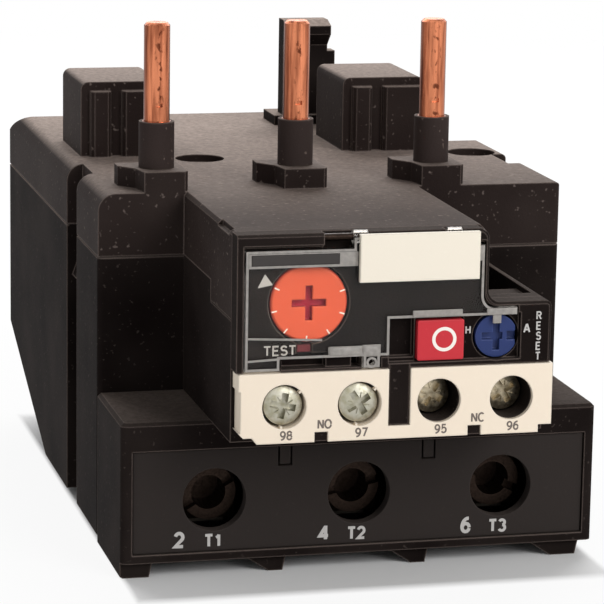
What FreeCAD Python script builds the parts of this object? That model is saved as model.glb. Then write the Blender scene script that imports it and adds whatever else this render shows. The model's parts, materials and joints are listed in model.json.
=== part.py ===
import FreeCAD, Part
import math
import os

# Three-pole thermal overload relay, plug-in type, in millimetres.
# X runs to the right along the width, Y from the front to the back, Z upwards.
# While the pieces are drawn, Y = 0 is the face of the power terminal panel and
# Z = 0 is the underside of the feet; write_piece moves Y = 0 to mid-depth.

# Casing
casing_width = 70.0
casing_floor_z = 1.2
seam_z = 43.0
seam_groove = 0.25
roof_z = 52.2
wall = 2.0
tower_y = 19.1
step_y = 60.5
casing_back_y = 105.0
rear_right_inset = 7.5
slope_lead = 5.0
slope_top_z = 15.5
roof_chamfer_run = 9.0
roof_chamfer_drop = 3.4
roof_edge_radius = 2.6
tower_edge_radius = 0.8
groove_front_y = 37.2
groove_width = 9.0
groove_depth = 2.5
ramp_drop = 8.0
ramp_height = 4.6
ramp_width = 3.2
ramp_reach = 1.6
pocket_radius = 3.8
pocket_depth = 1.2
pocket_y = 48.8

# Power side: load terminals in the front block and plug-in pins on the roof
pole_count = 3
load_left_margin = 13.5
load_right_margin = 14.1
pin_left_margin = 9.4
pin_right_margin = 19.0
pin_y = 23.6
pin_radius = 1.9
pin_shank_radius = 2.1
pin_top_z = 76.4
pin_dent_half = 0.5
pin_dent_height = 0.6
pin_dent_rise = 2.2
pin_dent_depth = 0.5
pin_tip_chamfer = 0.4
sleeve_radius = 2.6
sleeve_top_z = 62.0
flange_top_z = 55.2
flange_depth = 9.0

# Front terminal block
block_top_z = 22.8
block_bottom_z = 2.3
panel_top_z = 18.6
panel_bottom_z = 3.5
panel_side_margin = 1.6
panel_setback = 0.4
panel_thickness = 2.0
panel_latch_offset = 9.2
panel_latch_width = 2.1
panel_latch_height = 3.0
panel_latch_groove = 0.3
block_corner_radius = 1.0
access_radius = 4.6
access_z = 11.1
foot_run = 3.5
foot_flat = 2.1
end_foot_flat = 3.8
foot_rise = 0.5
foot_front_y = 1.0
web_thickness = 3.0
foot_lead = 16.6

# Clamp: hollow screw, sliding cage and bent busbar
clamp_screw_radius = 4.0
clamp_screw_front_y = 4.6
socket_radius = 2.5
screw_end_thickness = 0.8
slot_width = 1.2
slot_depth = 1.4
clamp_slot_tilts = [-30.0, -12.0, 25.0]
cage_half_width = 5.5
cage_half_height = 5.0
cage_side = 1.2
cage_end = 2.0
cage_gap = 0.2
cage_corner = 0.8
cable_depth = 4.3
busbar_front_y = 11.0
busbar_thickness = 1.6
busbar_half_width = 3.6
busbar_foot_z = 5.0
busbar_top_z = 19.2
busbar_setback = 10.6

# Pole unit inside the casing
pole_y = 72.0
strip_thickness = 1.0
strip_half_depth = 3.6
strip_foot_z = 8.0
strip_top_z = 38.2
foot_gap = 0.3
heater_first_z = 11.0
heater_pitch = 3.0
heater_turns = 7
heater_ribbon = 0.8
heater_height = 1.4
heater_inner_half_x = 3.2
heater_inner_half_y = 4.6
heater_gap_half = 1.2
conductor_bottom_z = 38.0
conductor_thickness = 2.0
conductor_half_width = 2.9
conductor_setback = 6.0

# Trip train
slide_bottom_z = 38.6
slide_thickness = 2.0
slide_width = 2.8
slide_left_inset = 5.0
trip_travel = 2.0
slide_right_inset = 5.7
slide_offset_y = 2.0
finger_bottom_z = 34.5
finger_thickness = 1.6
finger_gap = 0.4
lever_inset = 5.0
lever_y = 40.0
lever_bottom_z = 28.0
lever_thickness = 2.5
lever_width = 2.4
lever_tip_x = 17.5
lever_tip_y = 2.5
hub_radius = 2.6
hub_height = 5.0
lever_pin_radius = 1.0
running_gap = 0.05
end_gap = 0.3
compensation_thickness = 0.8
compensation_reach = 0.0
carrier_half_depth = 1.5
carrier_bottom_z = 29.5
carrier_thickness = 2.5
carrier_left_x = -14.5
contact_gap = 2.6
contact_top_z = 35.0
contact_rear_y = 7.0
contact_front_y = -2.0
closed_contact_x = 10.0
bridge_thickness = 0.6
post_thickness = 1.4

# Head
head_front_y = -16.0
head_left_x = -22.3
head_right_x = 22.4
neck_right_x = 13.2
shoulder_z = 41.8
bezel_back_y = -12.7
bezel_bottom_z = 33.2
bezel_top_bevel = 0.4
bezel_corner_radius = 1.5
bezel_neck_radius = 1.8
recess_y = -14.9
control_lip = 0.6
slot_gap = 0.15
head_floor_z = 22.8
trough_front_y = -10.3
trough_step_y = -3.0
trough_shelf_z = 40.9
mechanism_roof_z = 39.3
trough_floor_z = 33.6
trough_wall = 1.2
spring_wall_y = -5.0
spring_wall_thickness = 1.0
skirt_step_y = 0.5
skirt_step_z = 40.0
skirt_gap = 0.2
head_roof_bevel = 0.5
edge_notch_front_y = -10.9
edge_notch_rear_y = -3.6
edge_notch_depth = 0.8

# Clear cover and its marker tag
cover_thickness = 1.0
cover_setback = -0.1
cover_clearance = 0.25
cover_swing_room = 0.6
cover_left_x = -21.1
cover_right_x = 12.4
cover_top_z = 50.0
cover_hinge_z = 51.5
cover_foot_z = 33.4
cover_step_z = 35.0
cover_window_z = 40.1
cover_tab_top_z = 41.1
cover_tab_right_x = 17.3
cover_bend_radius = 1.7
latch_left_x = -16.3
latch_right_x = -4.5
latch_block_left_x = -9.6
latch_block_right_x = -6.0
latch_block_depth = 1.3
latch_recess = 1.2
latch_lead = 0.6
seal_right_x = -2.2
window_left_x = -0.9
hinge_pin_radius = 0.5
knuckle_radius = 0.9
knuckle_width = 2.0
knuckle_height = 2.0
left_knuckle_x = -5.1
right_knuckle_x = 8.2
hinge_notch_left_x = -10.2
hinge_pin_end = 0.6
seal_hole_x = -3.35
seal_hole_rise = 0.7
seal_hole_radius = 0.45
tag_left_x = -5.4
tag_right_x = 11.5
tag_bottom_z = 45.4
tag_top_z = 52.0
tag_thickness = 0.8

# Controls
dial_x = -12.1
dial_z = 42.5
dial_radius = 5.4
dial_front_y = -14.85
dial_thickness = 2.2
dial_slot_length = 4.8
dial_slot_width = 1.0
dial_slot_depth = 0.9
dial_shaft_radius = 1.5
dial_shaft_rear_y = 0.5
cam_radius = 3.0
cam_sides = 12
cam_offset = 0.7
cam_thickness = 2.5
moving_gap = 0.3
stop_x = 6.5
stop_z = 36.8
stop_half_width = 3.3
stop_half_height = 2.8
stop_front_y = -15.8
stop_length = 6.2
knob_x = 14.6
knob_z = 37.0
knob_radius = 3.0
knob_flat = 2.7
knob_front_y = -15.3
knob_notch = 1.2
plunger_radius = 1.8
plunger_front_y = -11.9
plunger_length = 5.4
plunger_rear_step = 1.4
plunger_flange = 2.8
knob_shaft_radius = 1.3
reset_travel = 2.0
plunger_flange_thickness = 0.8
reset_spring_radius = 1.75
reset_panel_x = 17.9
test_x = -12.7
test_z = 36.2
test_half_width = 0.95
test_half_height = 0.5
spring_wire = 0.35
spring_steps_per_turn = 8
spring_wire_sides = 4

# Auxiliary terminals
strip_left_x = -22.0
strip_right_x = 22.6
strip_bottom_z = 23.3
strip_front_y = -16.4
strip_rear_y = -6.0
rib_left_x = -0.8
rib_right_x = 2.1
rib_bottom_z = 25.2
aux_x = [-15.6, -5.0, 6.3, 16.7]
aux_names = ["98", "97", "95", "96"]
aux_head_front_y = [-15.9, -15.9, -12.4, -12.4]
aux_z = 28.4
aux_well_radius = 3.1
aux_head_radius = 2.7
aux_head_thickness = 2.2
aux_shank_radius = 1.6
aux_shank_length = 8.2
aux_cross_length = 3.4
aux_cross_width = 0.8
aux_cross_depth = 1.2
aux_cross_tilts = [20, -35, 30, 55]
washer_radius = 2.9
washer_thickness = 0.9
plate_half = 3.5
plate_thickness = 1.2
tail_thickness = 0.8
tail_height = 2.6
tail_lane = 1.1

# Rear blocks and the mounting hook on the roof
block_y = 51.7
block_depth = 18.0
block_height = 11.6
block_relief = 1.2
block_edge_radius = 1.2
block_face_bevel = 0.5
block_face_margin = 1.4
block_rib_start = 1.5
block_rib_end = 4.6
block_pad_start = 6.4
block_pad_margin = 0.4
block_width = 13.2
left_block_inset = 3.3
right_block_inset = 4.3
hook_inset = 20.3
hook_width = 8.9
hook_y = 82.0
hook_thickness = 3.0
hook_height = 17.4
hook_neck_height = 12.2
hook_neck_width = 7.6
hook_nose_reach = 2.4
hook_nose_height = 4.2
hook_nose_under = 2.2
hook_nose_drop = 0.8
hook_foot_margin = 1.5
hook_foot_front = 1.0
hook_foot_rear = 4.0
hook_foot_thickness = 1.6

half_width = casing_width / 2
rear_right_x = half_width - rear_right_inset
slope_start_y = pole_y - slope_lead
load_pitch = (casing_width - load_left_margin - load_right_margin) / (pole_count - 1)
first_load_x = load_left_margin - half_width
pin_pitch = (casing_width - pin_left_margin - pin_right_margin) / (pole_count - 1)
first_pin_x = pin_left_margin - half_width
first_foot_x = first_load_x - foot_lead
busbar_rear_y = pole_y - busbar_setback
conductor_rear_y = pole_y - conductor_setback
compensation_rear_y = pole_y - compensation_reach
slide_left_x = slide_left_inset - half_width
slide_right_x = rear_right_x - slide_right_inset
lever_x = rear_right_x - lever_inset
left_block_x = left_block_inset - half_width
right_block_x = rear_right_x - right_block_inset - block_width
hook_left_x = rear_right_x - hook_inset
groove_back_y = groove_front_y + groove_width
tag_front_y = head_front_y + cover_setback - tag_thickness
middle_y = (tag_front_y + casing_back_y) / 2
X_AXIS = FreeCAD.Vector(1, 0, 0)
Y_AXIS = FreeCAD.Vector(0, 1, 0)
Z_AXIS = FreeCAD.Vector(0, 0, 1)


def point(x, y, z):
    return FreeCAD.Vector(x, y, z)


def box(x0, x1, y0, y1, z0, z1):
    return Part.makeBox(x1 - x0, y1 - y0, z1 - z0, point(x0, y0, z0))


def rod_x(y, z, radius, x0, x1):
    return Part.makeCylinder(radius, x1 - x0, point(x0, y, z), X_AXIS)


def rod_y(x, z, radius, y0, y1):
    return Part.makeCylinder(radius, y1 - y0, point(x, y0, z), Y_AXIS)


def rod_z(x, y, radius, z0, z1):
    return Part.makeCylinder(radius, z1 - z0, point(x, y, z0), Z_AXIS)


def plate_yz(outline, x0, x1):
    """Closed (y, z) outline pulled along X from x0 to x1."""
    corners = [point(x0, y, z) for y, z in outline]
    wire = Part.makePolygon(corners + corners[:1])
    return Part.Face(wire).extrude(point(x1 - x0, 0, 0))


def plate_xz(outline, y0, y1):
    """Closed (x, z) outline pulled along Y from y0 to y1."""
    corners = [point(x, y0, z) for x, z in outline]
    wire = Part.makePolygon(corners + corners[:1])
    return Part.Face(wire).extrude(point(0, y1 - y0, 0))


def plate_xy(outline, z0, z1):
    """Closed (x, y) outline pulled along Z from z0 to z1."""
    corners = [point(x, y, z0) for x, y in outline]
    wire = Part.makePolygon(corners + corners[:1])
    return Part.Face(wire).extrude(point(0, 0, z1 - z0))


def prism_y(x, z, radius, sides, y0, y1):
    """Regular prism along Y whose corners lie on a circle."""
    corners = []
    for corner in range(sides):
        angle = 2 * math.pi * (corner + 0.5) / sides
        corners.append((x + radius * math.cos(angle), z + radius * math.sin(angle)))
    return plate_xz(corners, y0, y1)


def joined(shapes):
    whole = shapes[0]
    if len(shapes) > 1:
        whole = whole.fuse(shapes[1:])
    return whole.removeSplitter()


def straight_edges(shape, direction, keep):
    """Straight edges along a direction whose middle point passes keep."""
    found = []
    for edge in shape.Edges:
        if not isinstance(edge.Curve, Part.Line):
            continue
        if abs(edge.Curve.Direction.dot(direction)) < 0.999:
            continue
        if keep(edge.CenterOfMass):
            found.append(edge)
    return found


def rounded(shape, radius, direction, keep):
    return shape.makeFillet(radius, straight_edges(shape, direction, keep))


def bevelled(shape, size, direction, keep):
    return shape.makeChamfer(size, straight_edges(shape, direction, keep))


def load_x(pole):
    return first_load_x + pole * load_pitch


def pin_x(pole):
    return first_pin_x + pole * pin_pitch


def floor_height(y, inset):
    """Height of the casing floor at depth y, raised by a wall of thickness inset."""
    rise = (slope_top_z - casing_floor_z) / (casing_back_y - slope_start_y)
    angle = math.atan(rise)
    sloping = casing_floor_z + inset / math.cos(angle) + (y - slope_start_y) * rise
    return max(casing_floor_z + inset, sloping)


def casing_prism(inset, top_z):
    """Lower casing's outline, with its faces moved inwards by inset."""
    rise = (slope_top_z - casing_floor_z) / (casing_back_y - slope_start_y)
    bend_y = slope_start_y - inset * math.tan(math.atan(rise) / 2)
    back_y = casing_back_y - inset
    side = [
        (tower_y + inset, casing_floor_z + inset),
        (bend_y, casing_floor_z + inset),
        (back_y, floor_height(back_y, inset)),
        (back_y, top_z),
        (tower_y + inset, top_z),
    ]
    deep_part = plate_yz(side, -half_width + inset, rear_right_x - inset)
    right_part = box(rear_right_x - inset - wall, half_width - inset, tower_y + inset,
                     step_y - inset, casing_floor_z + inset, top_z)
    return joined([deep_part, right_part])


def side_grooves(extra, z0, z1):
    """The guide grooves down both flanks, made larger by extra."""
    y0 = groove_front_y - extra
    y1 = groove_back_y + extra
    reach = groove_depth + extra
    left = box(-half_width - extra, -half_width + reach, y0, y1, z0, z1)
    right = box(half_width - reach, half_width + extra, y0, y1, z0, z1)
    return [left, right]


def base_housing():
    shell = casing_prism(0, seam_z).cut(casing_prism(wall, seam_z + 1))
    inside = casing_prism(wall / 2, seam_z)
    additions = []
    for liner in side_grooves(wall, casing_floor_z, seam_z):
        additions.append(liner.common(inside))
    socket_half = strip_thickness / 2 + 2.0
    for pole in range(pole_count):
        x = pin_x(pole)
        socket = box(x - socket_half, x + socket_half, pole_y - strip_half_depth - 1,
                     pole_y + strip_half_depth + 1, casing_floor_z, strip_foot_z - foot_gap)
        pillar = box(x - conductor_half_width, x - 0.5, tower_y + wall / 2, tower_y + wall + 6,
                     casing_floor_z, conductor_bottom_z)
        additions += [socket, pillar]
    for pole in range(pole_count - 1):
        x = pin_x(pole) + pin_pitch / 2
        additions.append(box(x - 0.75, x + 0.75, pole_y - 7, pole_y + 7,
                             casing_floor_z, slide_bottom_z))
    shelf = box(lever_x - hub_radius, half_width - wall / 2, lever_y - 4, lever_y + 4,
                lever_bottom_z - 5, lever_bottom_z)
    additions.append(shelf)
    shell = joined([shell] + [piece.common(casing_prism(0, seam_z)) for piece in additions])
    cuts = side_grooves(0, casing_floor_z - 1, seam_z + 1)
    for pole in range(pole_count):
        x = load_x(pole)
        cuts.append(box(x - busbar_half_width, x + busbar_half_width, tower_y - 1,
                        tower_y + wall + 0.01, busbar_top_z - busbar_thickness, busbar_top_z))
    sweep = lever_width / 2 + trip_travel + moving_gap
    cuts.append(box(lever_tip_x - sweep, lever_x - 1, tower_y - 1, tower_y + wall + 1,
                    lever_bottom_z - 1, lever_bottom_z + lever_thickness + 1))
    cuts.append(rod_z(lever_x, lever_y, lever_pin_radius, lever_bottom_z - 6, lever_bottom_z + 1))
    rim = casing_prism(0, seam_z).cut(casing_prism(seam_groove, seam_z))
    cuts.append(rim.common(box(-half_width - 1, half_width + 1, tower_y - 1, casing_back_y + 1,
                               seam_z - seam_groove, seam_z)))
    shell = shell.cut(cuts).removeSplitter()
    shell = rounded(shell, tower_edge_radius, Z_AXIS,
                    lambda p: abs(abs(p.x) - half_width) < 0.01 and abs(p.y - tower_y) < 0.01)
    return shell.fuse(latch_ramps()).removeSplitter()


def latch_ramps():
    """Wedges in the guide grooves that snap behind the mating ribs."""
    bottom_z = seam_z - ramp_drop
    top_z = bottom_z + ramp_height
    y0 = groove_back_y - ramp_width
    y1 = groove_back_y
    ramps = []
    for side in (-1, 1):
        inner = side * (half_width - groove_depth)
        outer = side * (half_width - groove_depth + ramp_reach)
        outline = [(inner, bottom_z), (outer, bottom_z), (inner, top_z)]
        ramps.append(plate_xz(outline, y0, y1))
    return ramps


def roof_profile(inset, low_z):
    """Side view of the cover over the deep part, from low_z up, moved inwards by inset."""
    top = roof_z - inset
    back = casing_back_y - inset
    return [
        (tower_y + inset, low_z),
        (tower_y + inset, top),
        (casing_back_y - roof_chamfer_run - inset / 2, top),
        (back, roof_z - roof_chamfer_drop - inset),
        (back, low_z),
    ]


def top_cover():
    deep = plate_yz(roof_profile(0, seam_z), -half_width, rear_right_x)
    right = box(rear_right_x - wall, half_width, tower_y, step_y, seam_z, roof_z)
    outer = joined([deep, right])
    outer = rounded(outer, roof_edge_radius, Y_AXIS,
                    lambda p: abs(p.x + half_width) < 0.01 and abs(p.z - roof_z) < 0.01)
    right_edges = straight_edges(outer, Y_AXIS,
                                 lambda p: abs(p.x - half_width) < 0.01 and abs(p.z - roof_z) < 0.01)
    right_edges += straight_edges(outer, Z_AXIS,
                                  lambda p: abs(p.x - half_width) < 0.01 and abs(p.y - tower_y) < 0.01)
    outer = outer.makeFillet(tower_edge_radius, right_edges)
    head_roof = box(head_left_x, neck_right_x, bezel_back_y, tower_y, seam_z, roof_z)
    head_roof = bevelled(head_roof, head_roof_bevel, Y_AXIS, lambda p: abs(p.z - roof_z) < 0.01)
    skirt = box(head_left_x, head_left_x + wall, bezel_back_y, skirt_step_y, skirt_step_z, seam_z)
    solids = [outer, head_roof, skirt]
    solids += [flange(pole) for pole in range(pole_count)]
    solids += [rear_block(left_block_x), rear_block(right_block_x)]
    cover = joined(solids)
    deep_room = plate_yz(roof_profile(wall, seam_z - 1), -half_width + wall, rear_right_x - wall)
    right_room = box(rear_right_x - 2 * wall, half_width - wall, tower_y + wall, step_y - wall,
                     seam_z - 1, roof_z - wall)
    head_room = box(head_left_x + wall, neck_right_x - wall, bezel_back_y - 1, tower_y + wall + 0.01,
                    seam_z - 1, roof_z - wall)
    room = joined([deep_room, right_room, head_room])
    for liner in side_grooves(wall, seam_z - 1, roof_z):
        room = room.cut(liner)
    cuts = [room] + side_grooves(0, seam_z - 1, roof_z + 1)
    for pole in range(pole_count):
        cuts.append(rod_z(pin_x(pole), pin_y, pin_shank_radius + 2 * running_gap, seam_z,
                          flange_top_z + 1))
    for x in (pin_x(0) + 11.8, half_width - 5.0):
        cuts.append(rod_z(x, pocket_y, pocket_radius, roof_z - pocket_depth, roof_z + 1))
    cuts.append(box(head_left_x - 1, head_left_x + edge_notch_depth, edge_notch_front_y,
                    edge_notch_rear_y, roof_z - edge_notch_depth, roof_z + 1))
    return cover.cut(cuts).removeSplitter()


def flange(pole):
    """Raised seat round a pin, flush with the tower front and bevelled on its left."""
    x = pin_x(pole)
    back_y = tower_y + flange_depth
    outline = [
        (x - 2.6, tower_y),
        (x + 3.4, tower_y),
        (x + 3.9, tower_y + 0.6),
        (x + 3.9, back_y),
        (x - 5.4, back_y),
        (x - 5.4, tower_y + 6.4),
        (x - 3.2, tower_y + 3.6),
    ]
    return plate_xy(outline, roof_z - wall, flange_top_z)


def rear_block(x):
    """Roof block with a relieved front face, a narrow rib and a raised pad on it."""
    top = roof_z + block_height
    body = box(x, x + block_width, block_y + block_relief, block_y + block_depth, roof_z - wall, top)
    body = rounded(body, block_edge_radius, Y_AXIS, lambda p: p.z > roof_z)
    face_top = top - block_face_margin
    rib = box(x + block_rib_start, x + block_rib_end, block_y, block_y + block_relief + 1,
              roof_z - wall, face_top)
    pad = box(x + block_pad_start, x + block_width - block_pad_margin, block_y,
              block_y + block_relief + 1, roof_z - wall, face_top)
    rib = bevelled(rib, block_face_bevel, Z_AXIS, lambda p: p.y < block_y + 0.1)
    pad = bevelled(pad, block_face_bevel, Z_AXIS, lambda p: p.y < block_y + 0.1)
    return joined([body, rib, pad])


def mounting_hook():
    """Upright tongue with a forward nose that clips into the contactor's rear slot."""
    x0 = hook_left_x
    y1 = hook_y + hook_thickness
    top = roof_z + hook_height
    tip_y = hook_y - hook_nose_reach
    stem = box(x0, x0 + hook_width, hook_y, y1, roof_z, roof_z + hook_neck_height)
    neck = box(x0, x0 + hook_neck_width, hook_y, y1, roof_z, top)
    nose = plate_yz([(hook_y, top), (hook_y, top - hook_nose_height), (tip_y, top - hook_nose_under),
                     (tip_y, top - hook_nose_drop)], x0, x0 + hook_neck_width)
    foot = box(x0 - hook_foot_margin, x0 + hook_width + hook_foot_margin, hook_y - hook_foot_front,
               y1 + hook_foot_rear, roof_z, roof_z + hook_foot_thickness)
    return joined([stem, neck, nose, foot])


def power_pin(pole):
    x = pin_x(pole)
    top_z = conductor_bottom_z + conductor_thickness
    pin = rod_z(x, pin_y, pin_radius, conductor_bottom_z, pin_top_z)
    pin = pin.makeChamfer(pin_tip_chamfer, [e for e in pin.Edges if e.CenterOfMass.z > pin_top_z - 0.01])
    shank = rod_z(x, pin_y, pin_shank_radius, conductor_bottom_z, sleeve_top_z)
    bar = box(x - conductor_half_width, x + conductor_half_width, tower_y + wall, conductor_rear_y,
              conductor_bottom_z, top_z)
    dent_z = sleeve_top_z + pin_dent_rise
    dent = box(x - pin_dent_half, x + pin_dent_half, pin_y - pin_radius - 1,
               pin_y - pin_radius + pin_dent_depth, dent_z, dent_z + pin_dent_height)
    return joined([pin, shank, bar]).cut(dent)


def pin_sleeves():
    """Insulating collars on the three pins, standing on the roof flanges."""
    rings = []
    for pole in range(pole_count):
        outer = rod_z(pin_x(pole), pin_y, sleeve_radius, flange_top_z, sleeve_top_z)
        hole = rod_z(pin_x(pole), pin_y, pin_shank_radius + running_gap, flange_top_z - 1,
                     sleeve_top_z + 1)
        rings.append(outer.cut(hole))
    return Part.makeCompound(rings)


def foot_outline(index):
    """Front view of one foot with its sloping left flank and steep right flank."""
    x = first_foot_x + index * load_pitch
    x_flat = x + foot_run
    x_end = x_flat + (end_foot_flat if index in (0, pole_count) else foot_flat)
    return [(x, block_bottom_z), (x_flat, 0), (x_end, 0), (x_end + foot_rise, block_bottom_z)]


def terminal_shroud():
    """Front block: ledge, side walls, separating webs and the feet under them."""
    outer = box(-half_width, half_width, 0, tower_y, block_bottom_z, block_top_z)
    outer = rounded(outer, block_corner_radius, Z_AXIS, lambda p: p.y < 0.01)
    outer = bevelled(outer, block_corner_radius / 2, X_AXIS,
                     lambda p: p.y < 0.01 and p.z > block_top_z - 0.01)
    side = half_width - wall
    room = box(-side, side, wall + panel_setback, tower_y + 1, block_bottom_z - 1, block_top_z - wall)
    step_side = half_width - panel_side_margin - 0.8
    shell = outer.cut([room])
    lip = box(-side - 0.5, side + 0.5, panel_setback, panel_setback + panel_thickness + 1.6,
              block_bottom_z, block_top_z - wall / 2)
    shell = joined([shell, lip])
    seat = box(-half_width + panel_side_margin, half_width - panel_side_margin, -1,
               panel_setback + panel_thickness, panel_bottom_z, panel_top_z)
    window = box(-step_side, step_side, -1, tower_y, panel_bottom_z + 0.8, panel_top_z - 0.8)
    floor_gap = box(-side, side, panel_setback + panel_thickness + 1.6, tower_y + 1,
                    block_bottom_z - 1, panel_bottom_z + 1)
    shell = shell.cut([seat, window, floor_gap])
    solids = [shell]
    for index in range(pole_count + 1):
        foot = plate_xz(foot_outline(index), foot_front_y, tower_y)
        x_mid = first_foot_x + index * load_pitch + foot_run + foot_flat / 2
        x0 = x_mid - web_thickness / 2
        web_front = panel_setback + panel_thickness
        web = box(x0, x0 + web_thickness, web_front, tower_y, block_bottom_z - 0.5,
                  block_top_z - wall / 2)
        frame_space = box(-half_width, half_width, 0, tower_y, 0, block_top_z)
        solids += [foot.common(frame_space)]
        if index > 0 and index < pole_count:
            solids.append(web)
    return joined(solids)


def front_panel():
    """Separate insert with the three screw access holes."""
    gap = 0.15
    side = half_width - panel_side_margin - gap
    plate = box(-side, side, panel_setback, panel_setback + panel_thickness,
                panel_bottom_z + gap, panel_top_z - gap)
    holes = []
    for pole in range(pole_count):
        holes.append(rod_y(load_x(pole), access_z, access_radius, -1, panel_thickness + 2))
    groove_y = panel_setback + panel_thickness / 2
    for pole in range(pole_count - 1):
        x0 = load_x(pole) + panel_latch_offset
        x1 = x0 + panel_latch_width
        z0 = panel_top_z - panel_latch_height
        outer = box(x0, x1, -1, groove_y, z0, panel_top_z)
        tongue = box(x0 + panel_latch_groove, x1 - panel_latch_groove, -1, groove_y,
                     z0 + panel_latch_groove, panel_top_z)
        holes.append(outer.cut(tongue))
    return plate.cut(holes)


def load_busbar(pole):
    x0 = load_x(pole) - busbar_half_width
    x1 = load_x(pole) + busbar_half_width
    low = busbar_top_z - busbar_thickness
    blade = box(x0, x1, busbar_front_y, busbar_front_y + busbar_thickness, busbar_foot_z, busbar_top_z)
    bar = box(x0, x1, busbar_front_y, busbar_rear_y, low, busbar_top_z)
    tab = box(x0, x1, busbar_rear_y - busbar_thickness, busbar_rear_y, heater_first_z, busbar_top_z)
    return joined([blade, bar, tab])


def clamp_cage(pole):
    """Open box whose front wall rides on the screw and whose back wall grips the cable."""
    x = load_x(pole)
    front = busbar_front_y - cage_gap - cage_end
    back = busbar_front_y + busbar_thickness + cable_depth + 1.6
    outer = box(x - cage_half_width, x + cage_half_width, front, back,
                access_z - cage_half_height, access_z + cage_half_height)
    outer = bevelled(outer, cage_corner, Z_AXIS, lambda p: True)
    inner = box(x - cage_half_width + cage_side, x + cage_half_width - cage_side, front + cage_end,
                back - 1.6, access_z - cage_half_height - 1, access_z + cage_half_height + 1)
    thread = rod_y(x, access_z, clamp_screw_radius + running_gap, front - 1, front + cage_end + 0.5)
    return outer.cut([inner, thread])


def clamp_screw(pole):
    """Hollow terminal screw, slotted across its front rim, with a thin end on the busbar."""
    x = load_x(pole)
    y0 = clamp_screw_front_y
    body = rod_y(x, access_z, clamp_screw_radius, y0, busbar_front_y)
    socket = rod_y(x, access_z, socket_radius, y0 - 1, busbar_front_y - screw_end_thickness)
    slot = box(x - clamp_screw_radius - 1, x + clamp_screw_radius + 1, y0 - 1, y0 + slot_depth,
               access_z - slot_width / 2, access_z + slot_width / 2)
    slot.rotate(point(x, 0, access_z), Y_AXIS, clamp_slot_tilts[pole])
    return body.cut([socket, slot])


def bimetal(pole):
    x = pin_x(pole)
    return box(x - strip_thickness / 2, x + strip_thickness / 2, pole_y - strip_half_depth,
               pole_y + strip_half_depth, strip_foot_z, strip_top_z)


def heater(pole):
    """Flat ribbon wound square round the bimetal, with a lead at each end."""
    x = pin_x(pole)
    ix = heater_inner_half_x
    iy = heater_inner_half_y
    ox = ix + heater_ribbon
    oy = iy + heater_ribbon
    gap = heater_gap_half
    solids = []
    for turn in range(heater_turns):
        z0 = heater_first_z + turn * heater_pitch
        z1 = z0 + heater_height
        ring = box(x - ox, x + ox, pole_y - oy, pole_y + oy, z0, z1)
        hole = box(x - ix, x + ix, pole_y - iy, pole_y + iy, z0 - 1, z1 + 1)
        opening = box(x - gap, x + gap, pole_y - oy - 1, pole_y, z0 - 1, z1 + 1)
        solids.append(ring.cut([hole, opening]))
        if turn + 1 < heater_turns:
            up = heater_pitch
            link = [(x - gap, z0), (x + gap, z0 + up), (x + gap, z1 + up), (x - gap, z1)]
            solids.append(plate_xz(link, pole_y - oy, pole_y - iy))
    last_z = heater_first_z + (heater_turns - 1) * heater_pitch
    solids.append(box(x + gap, x + ox, busbar_rear_y, pole_y - iy, heater_first_z,
                      heater_first_z + heater_height))
    solids.append(box(x - ox, x - gap, conductor_rear_y - 1.4, pole_y - iy, last_z,
                      last_z + heater_height))
    solids.append(box(x - ox, x - gap, conductor_rear_y - 1.4, conductor_rear_y, last_z,
                      conductor_bottom_z))
    return joined(solids)


def slide_bar(y_mid, right_x, side):
    """Sliding bar with a finger beside each bimetal, on its right (1) or left (-1)."""
    y0 = y_mid - slide_width / 2
    y1 = y_mid + slide_width / 2
    solids = [box(slide_left_x, right_x, y0, y1, slide_bottom_z, slide_bottom_z + slide_thickness)]
    for pole in range(pole_count):
        near = pin_x(pole) + side * (strip_thickness / 2 + finger_gap)
        far = near + side * finger_thickness
        solids.append(box(min(near, far), max(near, far), y0, y1, finger_bottom_z,
                          slide_bottom_z + slide_thickness))
    return joined(solids)


def trip_slide():
    return slide_bar(pole_y - slide_offset_y, slide_right_x, 1)


def differential_slide():
    return slide_bar(pole_y + slide_offset_y, slide_right_x - 2.0, -1)


def trip_lever():
    """Long rocker: hub, cranked front arm with a striker, and a seat for its strip."""
    z0 = lever_bottom_z
    z1 = z0 + lever_thickness
    half = lever_width / 2
    bend_near_y = tower_y + 0.4
    bend_far_y = bend_near_y + 8.5
    arm = plate_xy([
        (lever_tip_x - half, lever_tip_y),
        (lever_tip_x + half, lever_tip_y),
        (lever_tip_x + half, bend_near_y - 0.6),
        (lever_x + half, bend_far_y - 0.6),
        (lever_x + half, lever_y),
        (lever_x - half, lever_y),
        (lever_x - half, bend_far_y + 0.6),
        (lever_tip_x - half, bend_near_y + 0.6),
    ], z0, z1)
    hub = rod_z(lever_x, lever_y, hub_radius, z0, z0 + hub_height)
    stub = box(lever_x - half, lever_x + half, lever_y, lever_y + 10, z0, z1)
    striker = box(lever_tip_x - half, lever_tip_x + half, lever_tip_y - carrier_half_depth,
                  lever_tip_y + carrier_half_depth, z0, carrier_bottom_z + 2)
    bore = rod_z(lever_x, lever_y, lever_pin_radius + running_gap, z0 - 1, z0 + hub_height + 1)
    return joined([arm, hub, stub, striker]).cut(bore)


def lever_pin():
    return rod_z(lever_x, lever_y, lever_pin_radius, lever_bottom_z - 4.5,
                 lever_bottom_z + hub_height + 0.8)


def compensation_strip():
    """Ambient-compensating bimetal that the trip slide pushes on."""
    x0 = slide_right_x + end_gap
    return box(x0, x0 + compensation_thickness, lever_y + hub_radius + 0.2, compensation_rear_y,
               lever_bottom_z + lever_thickness, slide_bottom_z + slide_thickness + 0.4)


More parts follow.
